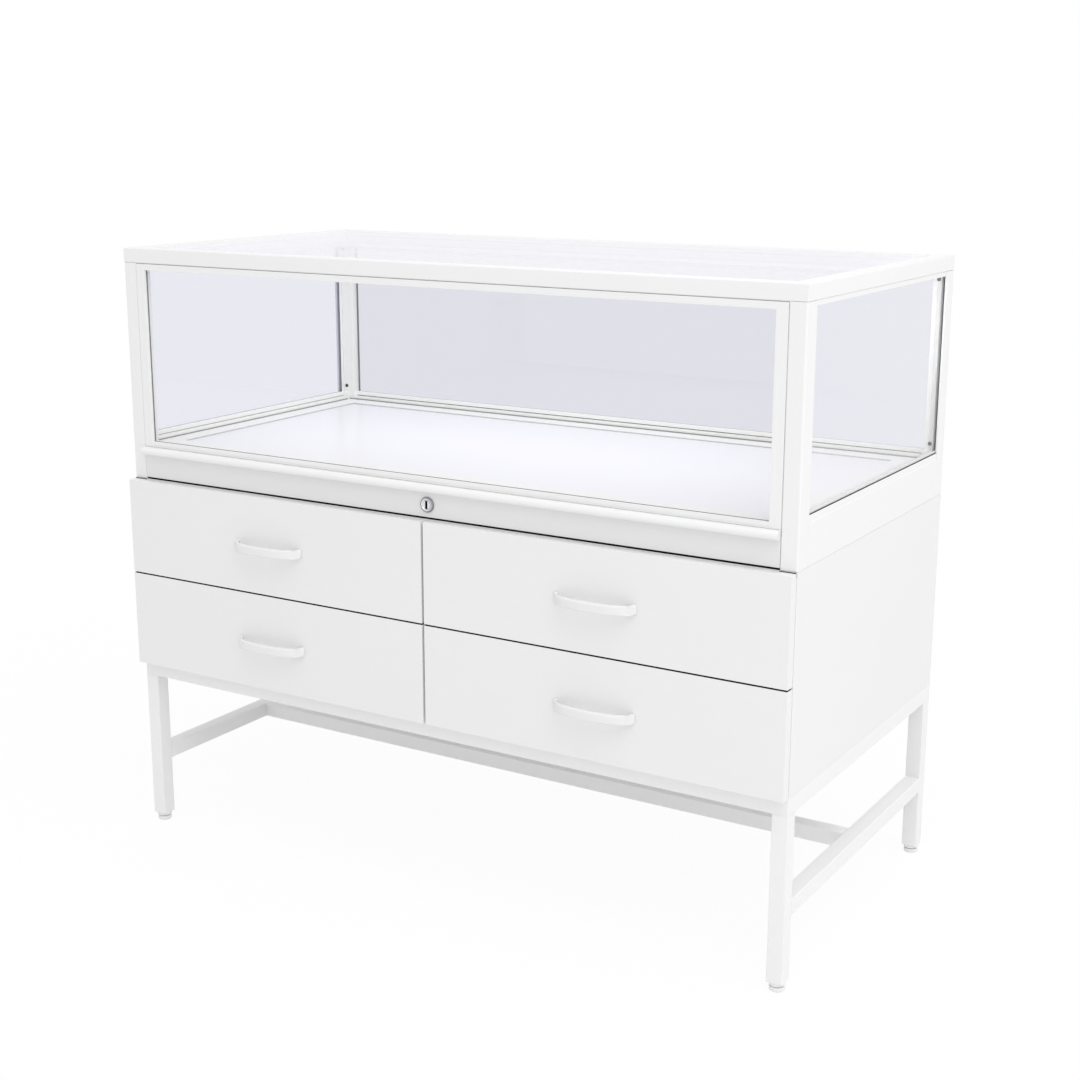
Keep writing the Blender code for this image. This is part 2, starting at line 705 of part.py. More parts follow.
def add_top_frame(finish):
    """Add the mitred frame on the posts, rebated for the top glass and grooved below."""
    seat = Z_TOP - TOP_PANE - FIT
    groove = Z_FRAME + PANE_SLOT
    round_centre = (TOP_FRAME_ROUND, Z_TOP - TOP_FRAME_ROUND)
    eased_edge = quarter_round(round_centre, TOP_FRAME_ROUND, math.pi, sweep=-math.pi / 2)
    profile = [(0.0, Z_FRAME)] + eased_edge + [
        (TOP_FRAME_RIM, Z_TOP),
        (TOP_FRAME_RIM, seat),
        (TOP_FRAME_WIDTH, seat),
        (TOP_FRAME_WIDTH, Z_FRAME),
        (SLOT_INNER, Z_FRAME),
        (SLOT_INNER, groove),
        (SLOT_OUTER, groove),
        (SLOT_OUTER, Z_FRAME),
    ]
    half_depth = CASE_DEPTH / 2
    loops = [
        ((inset - HALF_WIDTH, inset - half_depth), (HALF_WIDTH - inset, half_depth - inset), height)
        for inset, height in profile
    ]
    add_piece("top_frame", ring_mesh(loops, "z"), (0.0, Y_MIDDLE, 0.0), finish["powder"])


def add_panes(finish):
    """Add the top, side and rear glass in their rebate and grooves."""
    inset = TOP_FRAME_RIM + FIT
    add_box(
        "glass_top",
        (inset - HALF_WIDTH, Y_CASE + inset, Z_TOP - TOP_PANE),
        (HALF_WIDTH - inset, Y_BACK - inset, Z_TOP),
        finish["glass"],
    )
    low = Z_CABINET + SIDE_RAIL_HEIGHT - PANE_SLOT + FIT
    high = Z_FRAME + PANE_SLOT - PANE_EDGE_GAP
    held = PANE_SLOT - PANE_EDGE_GAP
    held_by_flange = POST_REBATE + held
    for side, sign in SIDES.items():
        xs = sorted((sign * (HALF_WIDTH - PANE_INSET), sign * (HALF_WIDTH - PANE_INSET - PANE)))
        add_box(
            f"glass_{side}",
            (xs[0], Y_CASE + POST_DEPTH - held_by_flange, low),
            (xs[1], Y_BACK - POST_DEPTH + held_by_flange, high),
            finish["glass"],
        )
    reach = HALF_WIDTH - POST_WIDTH + held
    add_box(
        "glass_rear",
        (-reach, Y_BACK - PANE_INSET - PANE, low),
        (reach, Y_BACK - PANE_INSET, high),
        finish["glass"],
    )


def build_tray(finish):
    """Add the pull-out tray on its slide, and the channels that carry it."""
    slide = add_axis("display_tray_slide", (0.0, Y_CASE, Z_TRAY))
    add_tray_front(slide, finish)
    add_lock_rail(slide, finish)
    deck_front = Y_CASE + TRAY_FRONT_THICKNESS + FIT
    deck_back = Y_BACK - RAIL_THICKNESS - DECK_REAR_CLEARANCE
    deck_reach = HALF_WIDTH - RAIL_THICKNESS - RUN - RAIL_STEP
    deck_low = Z_DECK - DECK_THICKNESS
    add_box(
        "tray_deck", (-deck_reach, deck_front, deck_low), (deck_reach, deck_back, Z_DECK),
        finish["deck"], slide, round_edges=BOARD_ROUND,
    )
    rail_face = HALF_WIDTH - RAIL_THICKNESS - FIT
    mouth = rail_face - CHANNEL_DEPTH
    middle = (Z_CABINET + deck_low) / 2
    channel_low = middle - CHANNEL_HEIGHT / 2
    channel_high = middle + CHANNEL_HEIGHT / 2
    channel = [
        (rail_face, channel_low),
        (rail_face, channel_high),
        (mouth, channel_high),
        (mouth, channel_high - CHANNEL_WALL),
        (rail_face - CHANNEL_WALL, channel_high - CHANNEL_WALL),
        (rail_face - CHANNEL_WALL, channel_low + CHANNEL_WALL),
        (mouth, channel_low + CHANNEL_WALL),
        (mouth, channel_low),
    ]
    tongue_tip = rail_face - CHANNEL_WALL - RUN
    tongue_low = channel_low + CHANNEL_WALL + FIT
    tongue_high = channel_high - CHANNEL_WALL - FIT
    web_outer = mouth - RUN
    web_inner = web_outer - TRAY_SIDE_THICKNESS
    member = [
        (web_inner, Z_TRAY),
        (web_inner, deck_low - FIT),
        (web_outer, deck_low - FIT),
        (web_outer, tongue_high),
        (tongue_tip, tongue_high),
        (tongue_tip, tongue_low),
        (web_outer, tongue_low),
        (web_outer, Z_TRAY),
    ]
    channel_start = Y_CASE + POST_DEPTH + FIT
    channel_end = Y_BACK - POST_DEPTH - FIT
    member_start = Y_LOCK_RAIL_BACK + FIT
    for side, sign in SIDES.items():
        add_prism(
            f"tray_channel_{side}", mirrored(channel, sign), "y", channel_start, channel_end,
            finish["steel"],
        )
        add_prism(
            f"tray_side_{side}", mirrored(member, sign), "y", member_start, deck_back,
            finish["powder"], slide,
        )
    add_lock(slide, finish)


def add_tray_front(slide, finish):
    """Add the glazed frame of the tray's front; its glass sits in a rebate from behind."""
    outer_low = (-TRAY_HALF_WIDTH, Z_TRAY_FRAME)
    outer_high = (TRAY_HALF_WIDTH, Z_FRAME - RUN)
    sight_low = (outer_low[0] + TRAY_STILE, outer_low[1] + TRAY_BOTTOM_BAR)
    sight_high = (outer_high[0] - TRAY_STILE, outer_high[1] - TRAY_TOP_BAR)
    rebate_low = tuple(value - TRAY_REBATE for value in sight_low)
    rebate_high = tuple(value + TRAY_REBATE for value in sight_high)
    back = TRAY_FRONT_THICKNESS
    loops = [
        (outer_low, outer_high, 0.0),
        (sight_low, sight_high, 0.0),
        (sight_low, sight_high, TRAY_FRONT_LIP),
        (rebate_low, rebate_high, TRAY_FRONT_LIP),
        (rebate_low, rebate_high, back),
        (outer_low, outer_high, back),
    ]
    frame = ring_mesh(loops, "y")
    add_piece("tray_front_frame", frame, (0.0, Y_CASE, 0.0), finish["powder"], slide)
    glass_front = Y_CASE + TRAY_FRONT_LIP + FIT
    add_box(
        "tray_front_glass",
        (rebate_low[0] + FIT, glass_front, rebate_low[1] + FIT),
        (rebate_high[0] - FIT, glass_front + PANE, rebate_high[1] - FIT),
        finish["glass"], slide,
    )


def add_lock_rail(slide, finish):
    """Add the rail below the tray's front, with its bull-nosed ledge and the lock's hole."""
    nose = LEDGE_HEIGHT / 2
    nose_centre = (Y_CASE - LEDGE_PROJECTION + nose, Z_LEDGE + nose)
    ledge = quarter_round(nose_centre, nose, 3 * math.pi / 2, sweep=-math.pi, steps=2 * ARC_STEPS)
    outline = [(Y_CASE, Z_TRAY), (Y_CASE, Z_LEDGE)] + ledge + [
        (Y_LOCK_RAIL_BACK, Z_LEDGE + LEDGE_HEIGHT),
        (Y_LOCK_RAIL_BACK, Z_TRAY),
    ]
    rail = add_prism(
        "tray_lock_rail", outline, "x", -TRAY_HALF_WIDTH, TRAY_HALF_WIDTH, finish["powder"], slide
    )
    hole_radius = LOCK_BODY_RADIUS + LOCK_HOLE_CLEARANCE
    overshoot = LOCK_RAIL_THICKNESS
    profile = [
        (0.0, Y_CASE - overshoot),
        (hole_radius, Y_CASE - overshoot),
        (hole_radius, Y_LOCK_RAIL_BACK + overshoot),
        (0.0, Y_LOCK_RAIL_BACK + overshoot),
    ]
    drill = add_piece("lock_drill", turned_mesh(profile, "y"), (0.0, 0.0, Z_LOCK), finish["powder"])
    combine(rail, drill, "DIFFERENCE")


def add_lock(slide, finish):
    """Add the lock's body, its plug with the cam, and the strike that the cam turns behind."""
    face = -LOCK_BEZEL - FIT
    tail = Y_CAM - Y_CASE - FIT
    body = [
        (LOCK_BORE_RADIUS, face),
        (LOCK_BEZEL_RADIUS - LOCK_BEZEL_CHAMFER, face),
        (LOCK_BEZEL_RADIUS, face + LOCK_BEZEL_CHAMFER),
        (LOCK_BEZEL_RADIUS, -FIT),
        (LOCK_BODY_RADIUS, -FIT),
        (LOCK_BODY_RADIUS, tail),
        (LOCK_BORE_RADIUS, tail),
    ]
    centre = (0.0, Y_CASE, Z_LOCK)
    lock_body = add_piece("lock_body", turned_mesh(body, "y", hollow=True), centre, finish["chrome"], slide)
    shade_round(lock_body)
    plug_radius = LOCK_BORE_RADIUS - FIT
    cam_back = Y_CAM - Y_CASE + CAM_THICKNESS
    plug = [(0.0, face), (plug_radius, face), (plug_radius, cam_back), (0.0, cam_back)]
    lock_plug = add_piece("lock_plug", turned_mesh(plug, "y"), centre, finish["chrome"], slide)
    cam = add_box(
        "lock_cam_blank",
        (-CAM_WIDTH / 2, Y_CAM, Z_LOCK - CAM_LENGTH),
        (CAM_WIDTH / 2, Y_CAM + CAM_THICKNESS, Z_LOCK + CAM_WIDTH / 2),
        finish["steel"],
    )
    combine(lock_plug, cam, "UNION")
    slot = add_box(
        "key_slot",
        (-KEY_SLOT_WIDTH / 2, Y_CASE + face - KEY_SLOT_DEPTH, Z_LOCK - KEY_SLOT_HEIGHT / 2),
        (KEY_SLOT_WIDTH / 2, Y_CASE + face + KEY_SLOT_DEPTH, Z_LOCK + KEY_SLOT_HEIGHT / 2),
        finish["steel"],
    )
    combine(lock_plug, slot, "DIFFERENCE")
    shade_round(lock_plug)
    strike_front = Y_LOCK_RAIL_BACK + RUN
    strike_back = strike_front + STRIKE_THICKNESS
    foot_level = Z_CABINET + FIT
    strike = [
        (strike_front, foot_level),
        (strike_front, Z_LOCK + CAM_WIDTH / 2),
        (strike_back, Z_LOCK + CAM_WIDTH / 2),
        (strike_back, foot_level + STRIKE_THICKNESS),
        (strike_back + STRIKE_FOOT, foot_level + STRIKE_THICKNESS),
        (strike_back + STRIKE_FOOT, foot_level),
    ]
    strike_edge = -LOCK_BODY_RADIUS - RUN
    add_prism("lock_strike", strike, "x", strike_edge - STRIKE_WIDTH, strike_edge, finish["steel"])


def main():
    """Build the case from the floor up."""
    clear_scene()
    finish = make_materials()
    build_base_frame(finish)
    build_cabinet(finish)
    build_runners(finish)
    build_drawers(finish)
    build_vitrine(finish)
    build_tray(finish)


main()
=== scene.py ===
"""Looks of a white shop display case: a glazed vitrine on four drawers and a steel base.

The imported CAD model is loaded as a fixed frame, in metres, with +Z up and the front at -Y.
Each class dresses one sub-assembly of it with eased copies of the solids and with new trim.
"""
from __future__ import annotations

import json
import logging
import math
from dataclasses import dataclass
from enum import Enum
from functools import cache
from typing import Any, Callable, Iterable, Sequence

import bmesh
import bpy
from mathutils import Matrix, Vector

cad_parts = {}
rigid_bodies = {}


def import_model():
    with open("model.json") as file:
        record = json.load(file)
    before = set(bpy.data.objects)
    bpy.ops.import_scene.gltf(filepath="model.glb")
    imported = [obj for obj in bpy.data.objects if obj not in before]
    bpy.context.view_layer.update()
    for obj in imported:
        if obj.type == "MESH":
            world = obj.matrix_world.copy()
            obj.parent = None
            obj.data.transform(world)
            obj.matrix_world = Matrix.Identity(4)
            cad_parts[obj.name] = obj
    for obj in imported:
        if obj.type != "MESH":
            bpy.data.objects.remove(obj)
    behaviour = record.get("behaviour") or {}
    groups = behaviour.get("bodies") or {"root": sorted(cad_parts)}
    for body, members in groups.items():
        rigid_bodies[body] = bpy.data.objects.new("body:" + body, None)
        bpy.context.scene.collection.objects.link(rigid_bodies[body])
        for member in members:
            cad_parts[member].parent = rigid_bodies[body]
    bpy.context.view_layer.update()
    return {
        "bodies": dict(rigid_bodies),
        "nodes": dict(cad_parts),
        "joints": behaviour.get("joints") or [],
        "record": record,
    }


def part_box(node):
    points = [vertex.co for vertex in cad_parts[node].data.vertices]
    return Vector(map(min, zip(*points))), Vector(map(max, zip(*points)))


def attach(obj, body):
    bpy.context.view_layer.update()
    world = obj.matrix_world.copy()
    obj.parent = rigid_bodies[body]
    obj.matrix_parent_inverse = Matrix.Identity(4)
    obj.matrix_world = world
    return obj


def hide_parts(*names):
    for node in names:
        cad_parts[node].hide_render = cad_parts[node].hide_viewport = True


LOG = logging.getLogger("display_case")

Point = Sequence[float]
Colour = tuple[float, float, float]
ORIGIN = (0.0, 0.0, 0.0)
SIDES = {"left": -1.0, "right": 1.0}
ENDS = {"front": -1.0, "rear": 1.0}
CORNERS = [f"{end}_{side}" for end in ENDS for side in SIDES]
ROWS = ("lower", "upper")
ALIGNED = 0.9  # least cosine between an axis and a direction that counts as along it
SKIN = 0.0001  # how far a strip sinks into what carries it
HAIR = 0.0001  # rounding of the thinnest strips
THIN = 0.0002  # rounding of gaskets and tapes
SOFT = 0.0003  # rounding of felt, wipers and small steel parts
MERGE = 0.00002  # distance within which the points of a CAD copy are merged
FLAT = 1.0  # degrees within which the faces of a CAD copy are merged
SHARP = 50.0  # degrees between two faces from which their edge counts as sharp
TURNED_SHARP = 40.0  # the same on the feet and the lock
SCREW_SHARP = 35.0  # the same on screws and their holes
BOW_SHARP = 75.0  # the same on the handles


class Axis(Enum):
    """A direction of the case."""

    X = 0
    Y = 1
    Z = 2

    def vector(self) -> Vector:
        """Return the unit vector of the axis."""
        return Vector([float(index == self.value) for index in range(3)])


class Pick(Enum):
    """What a selection picks in edit mode."""

    EDGE = "EDGE"
    FACE = "FACE"


class Signal:
    """A shader socket that takes part in Python arithmetic."""

    def __init__(self, shader: Shader, socket: bpy.types.NodeSocket | None) -> None:
        """Keep an output socket and the builder of its node tree."""
        self.shader = shader
        self.socket = socket

    def _math(self, operation: str, first: Any, second: Any) -> Signal:
        """Return the result of a Math node on two values."""
        return self.shader.node("ShaderNodeMath", {"operation": operation}, {0: first, 1: second})

    def __add__(self, other: Any) -> Signal:
        """Return self + other."""
        return self._math("ADD", self, other)

    def __radd__(self, other: Any) -> Signal:
        """Return other + self."""
        return self._math("ADD", other, self)

    def __sub__(self, other: Any) -> Signal:
        """Return self - other."""
        return self._math("SUBTRACT", self, other)

    def __rsub__(self, other: Any) -> Signal:
        """Return other - self."""
        return self._math("SUBTRACT", other, self)

    def __mul__(self, other: Any) -> Signal:
        """Return self * other."""
        return self._math("MULTIPLY", self, other)

    def __rmul__(self, other: Any) -> Signal:
        """Return other * self."""
        return self._math("MULTIPLY", other, self)

    def __truediv__(self, other: Any) -> Signal:
        """Return self / other."""
        return self._math("DIVIDE", self, other)

    def __pow__(self, other: Any) -> Signal:
        """Return self ** other."""
        return self._math("POWER", self, other)

    def at_most(self, other: Any) -> Signal:
        """Return the smaller of the two values."""
        return self._math("MINIMUM", self, other)

    def at_least(self, other: Any) -> Signal:
        """Return the larger of the two values."""
        return self._math("MAXIMUM", self, other)


class Shader:
    """Builds the node tree of a material or of the world."""

    def __init__(self, tree: bpy.types.NodeTree) -> None:
        """Start on an emptied node tree."""
        self.tree = tree
        tree.nodes.clear()

    def node(
        self,
        kind: str,
        settings: dict[str, Any] | None = None,
        inputs: dict[str | int, Any] | None = None,
        output: str | int = 0,
    ) -> Signal:
        """Add a node.

        Args:
            kind: The node's type.
            settings: Properties of the node, which are set first.
            inputs: Values or signals by the name or number of the socket.
            output: The name or number of the socket to return.

        Returns:
            The signal of the chosen output.
        """
        made = self.tree.nodes.new(kind)
        for name, value in (settings or {}).items():
            setattr(made, name, value)
        for key, value in (inputs or {}).items():
            if isinstance(value, Signal):
                self.tree.links.new(value.socket, made.inputs[key])
            else:
                made.inputs[key].default_value = value
        return Signal(self, made.outputs[output] if made.outputs else None)

    def place(self, scale: Point = (1.0, 1.0, 1.0)) -> Signal:
        """Return the Object coordinates, stretched by a scale on each axis."""
        raw = self.node("ShaderNodeTexCoord", output="Object")
        return self.node("ShaderNodeMapping", inputs={"Vector": raw, "Scale": scale})

    def noise(self, place: Signal, patch: float, detail: float) -> Signal:
        """Return a soft random field of about 0.5 on average, with patches of a size."""
        values = {"Vector": place, "Scale": 1.0 / patch, "Detail": detail}
        return self.node("ShaderNodeTexNoise", inputs=values)

    def blend(self, share: Any, first: Any, second: Any) -> Signal:
        """Return a mix of two colours by a share from 0 to 1."""
        values = {0: share, 6: first, 7: second}
        return self.node("ShaderNodeMix", {"data_type": "RGBA"}, values, output=2)

    def mixed(self, share: Signal, first: Signal, second: Signal) -> Signal:
        """Return a mix of two shaders by a share from 0 to 1."""
        return self.node("ShaderNodeMixShader", inputs={0: share, 1: first, 2: second})

    def surface(self, result: Signal) -> None:
        """Send a shader to the material's output."""
        self.node("ShaderNodeOutputMaterial", inputs={"Surface": result})


def new_material(name: str) -> tuple[bpy.types.Material, Shader]:
    """Return an empty node material and its builder.

    Args:
        name: The material's name.

    Returns:
        The material, and the builder of its node tree.
    """
    material = bpy.data.materials.new(name)
    material.use_nodes = True
    return material, Shader(material.node_tree)


def opaque(colour: Colour, share: float = 1.0) -> tuple[float, float, float, float]:
    """Return a colour times a share, with an alpha of 1."""
    red, green, blue = (value * share for value in colour)
    return red, green, blue, 1.0


class Grain(Enum):
    """The fine texture of a finish, as a stretch of its noise on each axis."""

    PEEL = (1.0, 1.0, 1.0)  # sprayed or powder coat
    ACROSS = (0.02, 1.0, 1.0)  # brushed along X
    DEEP = (1.0, 0.02, 1.0)  # drawn along Y


@dataclass(frozen=True)
class Finish:
    """An opaque finish with a fine texture and slow drifts of tone and gloss."""

    name: str
    colour: Colour
    roughness: float
    grain: Grain = Grain.PEEL
    grain_size: float = 0.0016
    grain_depth: float = 0.00002
    drift_size: float = 0.22
    tone_drift: float = 0.02
    gloss_drift: float = 0.10
    metallic: float = 0.0
    specular: float = 0.5
    coat: float = 0.0
    coat_roughness: float = 0.05

    @cache
    def material(self) -> bpy.types.Material:
        """Return the finish as a material, made on the first call.

        Returns:
            The material.
        """
        material, shader = new_material(self.name)
        drift = shader.noise(shader.place(), self.drift_size, 3.0)
        grain = shader.noise(shader.place(self.grain.value), self.grain_size, 2.0)
        faded = opaque(self.colour, 1.0 - self.tone_drift)
        tone = shader.blend(drift, faded, opaque(self.colour))
        uneven = (drift - 0.5) * self.gloss_drift + (grain - 0.5) * self.gloss_drift
        bump = shader.node(
            "ShaderNodeBump",
            inputs={"Strength": 1.0, "Distance": self.grain_depth, "Height": grain},
        )
        result = shader.node(
            "ShaderNodeBsdfPrincipled",
            inputs={
                "Base Color": tone,
                "Roughness": self.roughness + uneven,
                "Metallic": self.metallic,
                "Specular IOR Level": self.specular,
                "Coat Weight": self.coat,
                "Coat Roughness": self.coat_roughness,
                "Normal": bump,
            },
        )
        shader.surface(result)
        return material


@dataclass(frozen=True)
class Glass:
    """Clear sheet glass: a tinted see-through layer under a glossy skin."""

    name: str
    tint: Colour
    gloss: float = 0.018
    grazing: float = 0.50
    smear: float = 0.010
    skin: Colour = (0.93, 0.93, 0.95)
    polish: float = 0.02
    smear_size: float = 0.2
    smear_stretch: Colour = (1.0, 1.0, 0.4)
    falloff: float = 5.0  # power by which the gloss rises towards grazing

    @cache
    def material(self) -> bpy.types.Material:
        """Return the glass as a material, made on the first call.

        Returns:
            The material.
        """
        material, shader = new_material(self.name)
        facing = shader.node("ShaderNodeLayerWeight", inputs={"Blend": 0.5}, output="Facing")
        smear = shader.noise(shader.place(self.smear_stretch), self.smear_size, 3.0)
        share = self.gloss + self.grazing * facing**self.falloff + (smear - 0.5) * self.smear
        through = shader.node("ShaderNodeBsdfTransparent", inputs={"Color": opaque(self.tint)})
        skin = shader.node(
            "ShaderNodeBsdfPrincipled",
            inputs={"Base Color": opaque(self.skin), "Metallic": 1.0, "Roughness": self.polish},
        )
        shader.surface(shader.mixed(share.at_most(1.0), through, skin))
        return material


Look = Finish | Glass

POWDER = Finish("white_powder_coat", (0.86, 0.86, 0.86), 0.42)
FRAME_COAT = Finish("white_frame_coat", (0.855, 0.855, 0.855), 0.38, grain_size=0.0014)
HANDLE_COAT = Finish("satin_handle_coat", (0.81, 0.81, 0.81), 0.42, grain_size=0.0012)
LACQUER = Finish("white_lacquered_board", (0.83, 0.83, 0.83), 0.40, grain_size=0.0022, coat=0.15)
BOX_BOARD = Finish("white_drawer_board", (0.83, 0.83, 0.82), 0.48, grain_size=0.0010)
DECK = Finish(
    "glossy_white_deck", (0.890, 0.887, 0.920), 0.30, grain_size=0.004, grain_depth=0.000004,
    tone_drift=0.01, gloss_drift=0.03, specular=0.25, coat=0.03, coat_roughness=0.12,
)
# grey: painted shade on the rim's inner step and at the feet of the left and rear panes
RIM_STEP_SHADE = Finish("shaded_rim_step", (0.55, 0.55, 0.54), 0.55, grain_size=0.0012)
DECK_RIM = Finish("cream_deck_rim", (0.900, 0.900, 0.890), 0.40, grain_size=0.0020, specular=0.25)
# darker and bluish: painted shade on the inner faces of the top frame
FRAME_REBATE_SHADE = Finish("shaded_frame_rebate", (0.70, 0.70, 0.80), 0.45, grain_size=0.0014)
# a near-white, mirror-like copy of the frame coat: painted highlight on the inner beads under the
# top frame
TOP_BEAD_HIGHLIGHT = Finish(
    "bright_top_bead", (0.98, 0.98, 0.98), 0.32, grain_size=0.0012, metallic=0.9,
)
# a darker copy of the frame coat: painted shade on the lock rail under its ledge
LOCK_RAIL_SHADE = Finish("shaded_rail_coat", (0.79, 0.79, 0.79), 0.40, grain_size=0.0014)
# grey: painted shade in the gap between the rails and the deck, and in the shadow line at the foot
# of each inner bead
WIPER_GAP_SHADE = Finish("grey_wiper", (0.36, 0.36, 0.34), 0.6, grain_size=0.0008, tone_drift=0.1)
BRUSH = Finish(
    "pale_brush_seal", (0.78, 0.78, 0.78), 0.8, grain_size=0.0005, grain_depth=0.0001,
)
# lighter and warmer than the frame coat: painted light on the inward faces, beads and cover inside
# the case
MOULDING_INNER_LIGHT = Finish("cream_white_moulding", (0.900, 0.903, 0.882), 0.40, grain_size=0.0012)
# black: a real rubber gasket, its darkness partly painted shade of the right pane's slots
RUBBER_SLOT_SHADE = Finish(
    "black_rubber", (0.020, 0.020, 0.021), 0.62, grain_size=0.0008, tone_drift=0.3, specular=0.3,
)
# grey: a real gasket, its tone partly painted shade in the corners of the front glass and the rear
# pane
GASKET_CORNER_SHADE = Finish(
    "grey_gasket", (0.20, 0.20, 0.20), 0.6, grain_size=0.0008, tone_drift=0.15, specular=0.3,
)
# near black: painted shade in the gaps above and between the drawer fronts
FELT_GAP_SHADE = Finish(
    "black_felt", (0.010, 0.010, 0.010), 0.95, grain_size=0.0006, grain_depth=0.0001,
    tone_drift=0.4, specular=0.1,
)
CUSHION = Finish("white_cushion_strip", (0.86, 0.86, 0.86), 0.55, grain_size=0.0010)
BLACK_SCREW = Finish(
    "black_oxide", (0.030, 0.030, 0.032), 0.38, grain_size=0.0007, metallic=0.6, tone_drift=0.3,
)
CHROME = Finish(
    "polished_chrome", (0.78, 0.78, 0.80), 0.14, Grain.ACROSS, 0.0005, 0.000002,
    tone_drift=0.05, gloss_drift=0.06, metallic=1.0,
)
# dark metal on the outer ring of the lock bezel: painted dark reflection around the chrome
STEEL_DARK_REFLECTION = Finish(
    "satin_steel", (0.33, 0.33, 0.34), 0.28, Grain.ACROSS, 0.0005, 0.000004,
    tone_drift=0.08, gloss_drift=0.10, metallic=1.0,
)
ZINC = Finish(
    "zinc_plated_steel", (0.62, 0.63, 0.64), 0.34, Grain.DEEP, 0.0008, 0.00001,
    drift_size=0.03, tone_drift=0.12, gloss_drift=0.14, metallic=1.0,
)
PLASTIC = Finish("white_foot_plastic", (0.84, 0.84, 0.84), 0.46, grain_size=0.0009)
# near black: painted shade at the bottom of the key slot
KEYWAY_SHADE = Finish(
    "dark_keyway", (0.004, 0.004, 0.004), 0.9, grain_size=0.0005, tone_drift=0.3, specular=0.05,
)

# All panes are one clear sheet glass; the lavender tints of the left and rear panes, against the
# clear right pane, are painted shade.
FRONT_GLASS = Glass("clear_front_glass", (0.988, 0.988, 0.986), gloss=0.015)
TOP_GLASS = Glass(
    "clear_top_glass", (0.985, 0.985, 1.0), 0.012, 0.90, 0.008, skin=(0.98, 0.98, 1.0),
)
LEFT_GLASS = Glass("tinted_left_glass", (0.917, 0.917, 0.958))
RIGHT_GLASS = Glass("clear_right_glass", (0.998, 0.998, 1.0), gloss=0.085, skin=(1.0, 1.0, 1.0))
REAR_GLASS = Glass("tinted_rear_glass", (0.870, 0.870, 0.912))


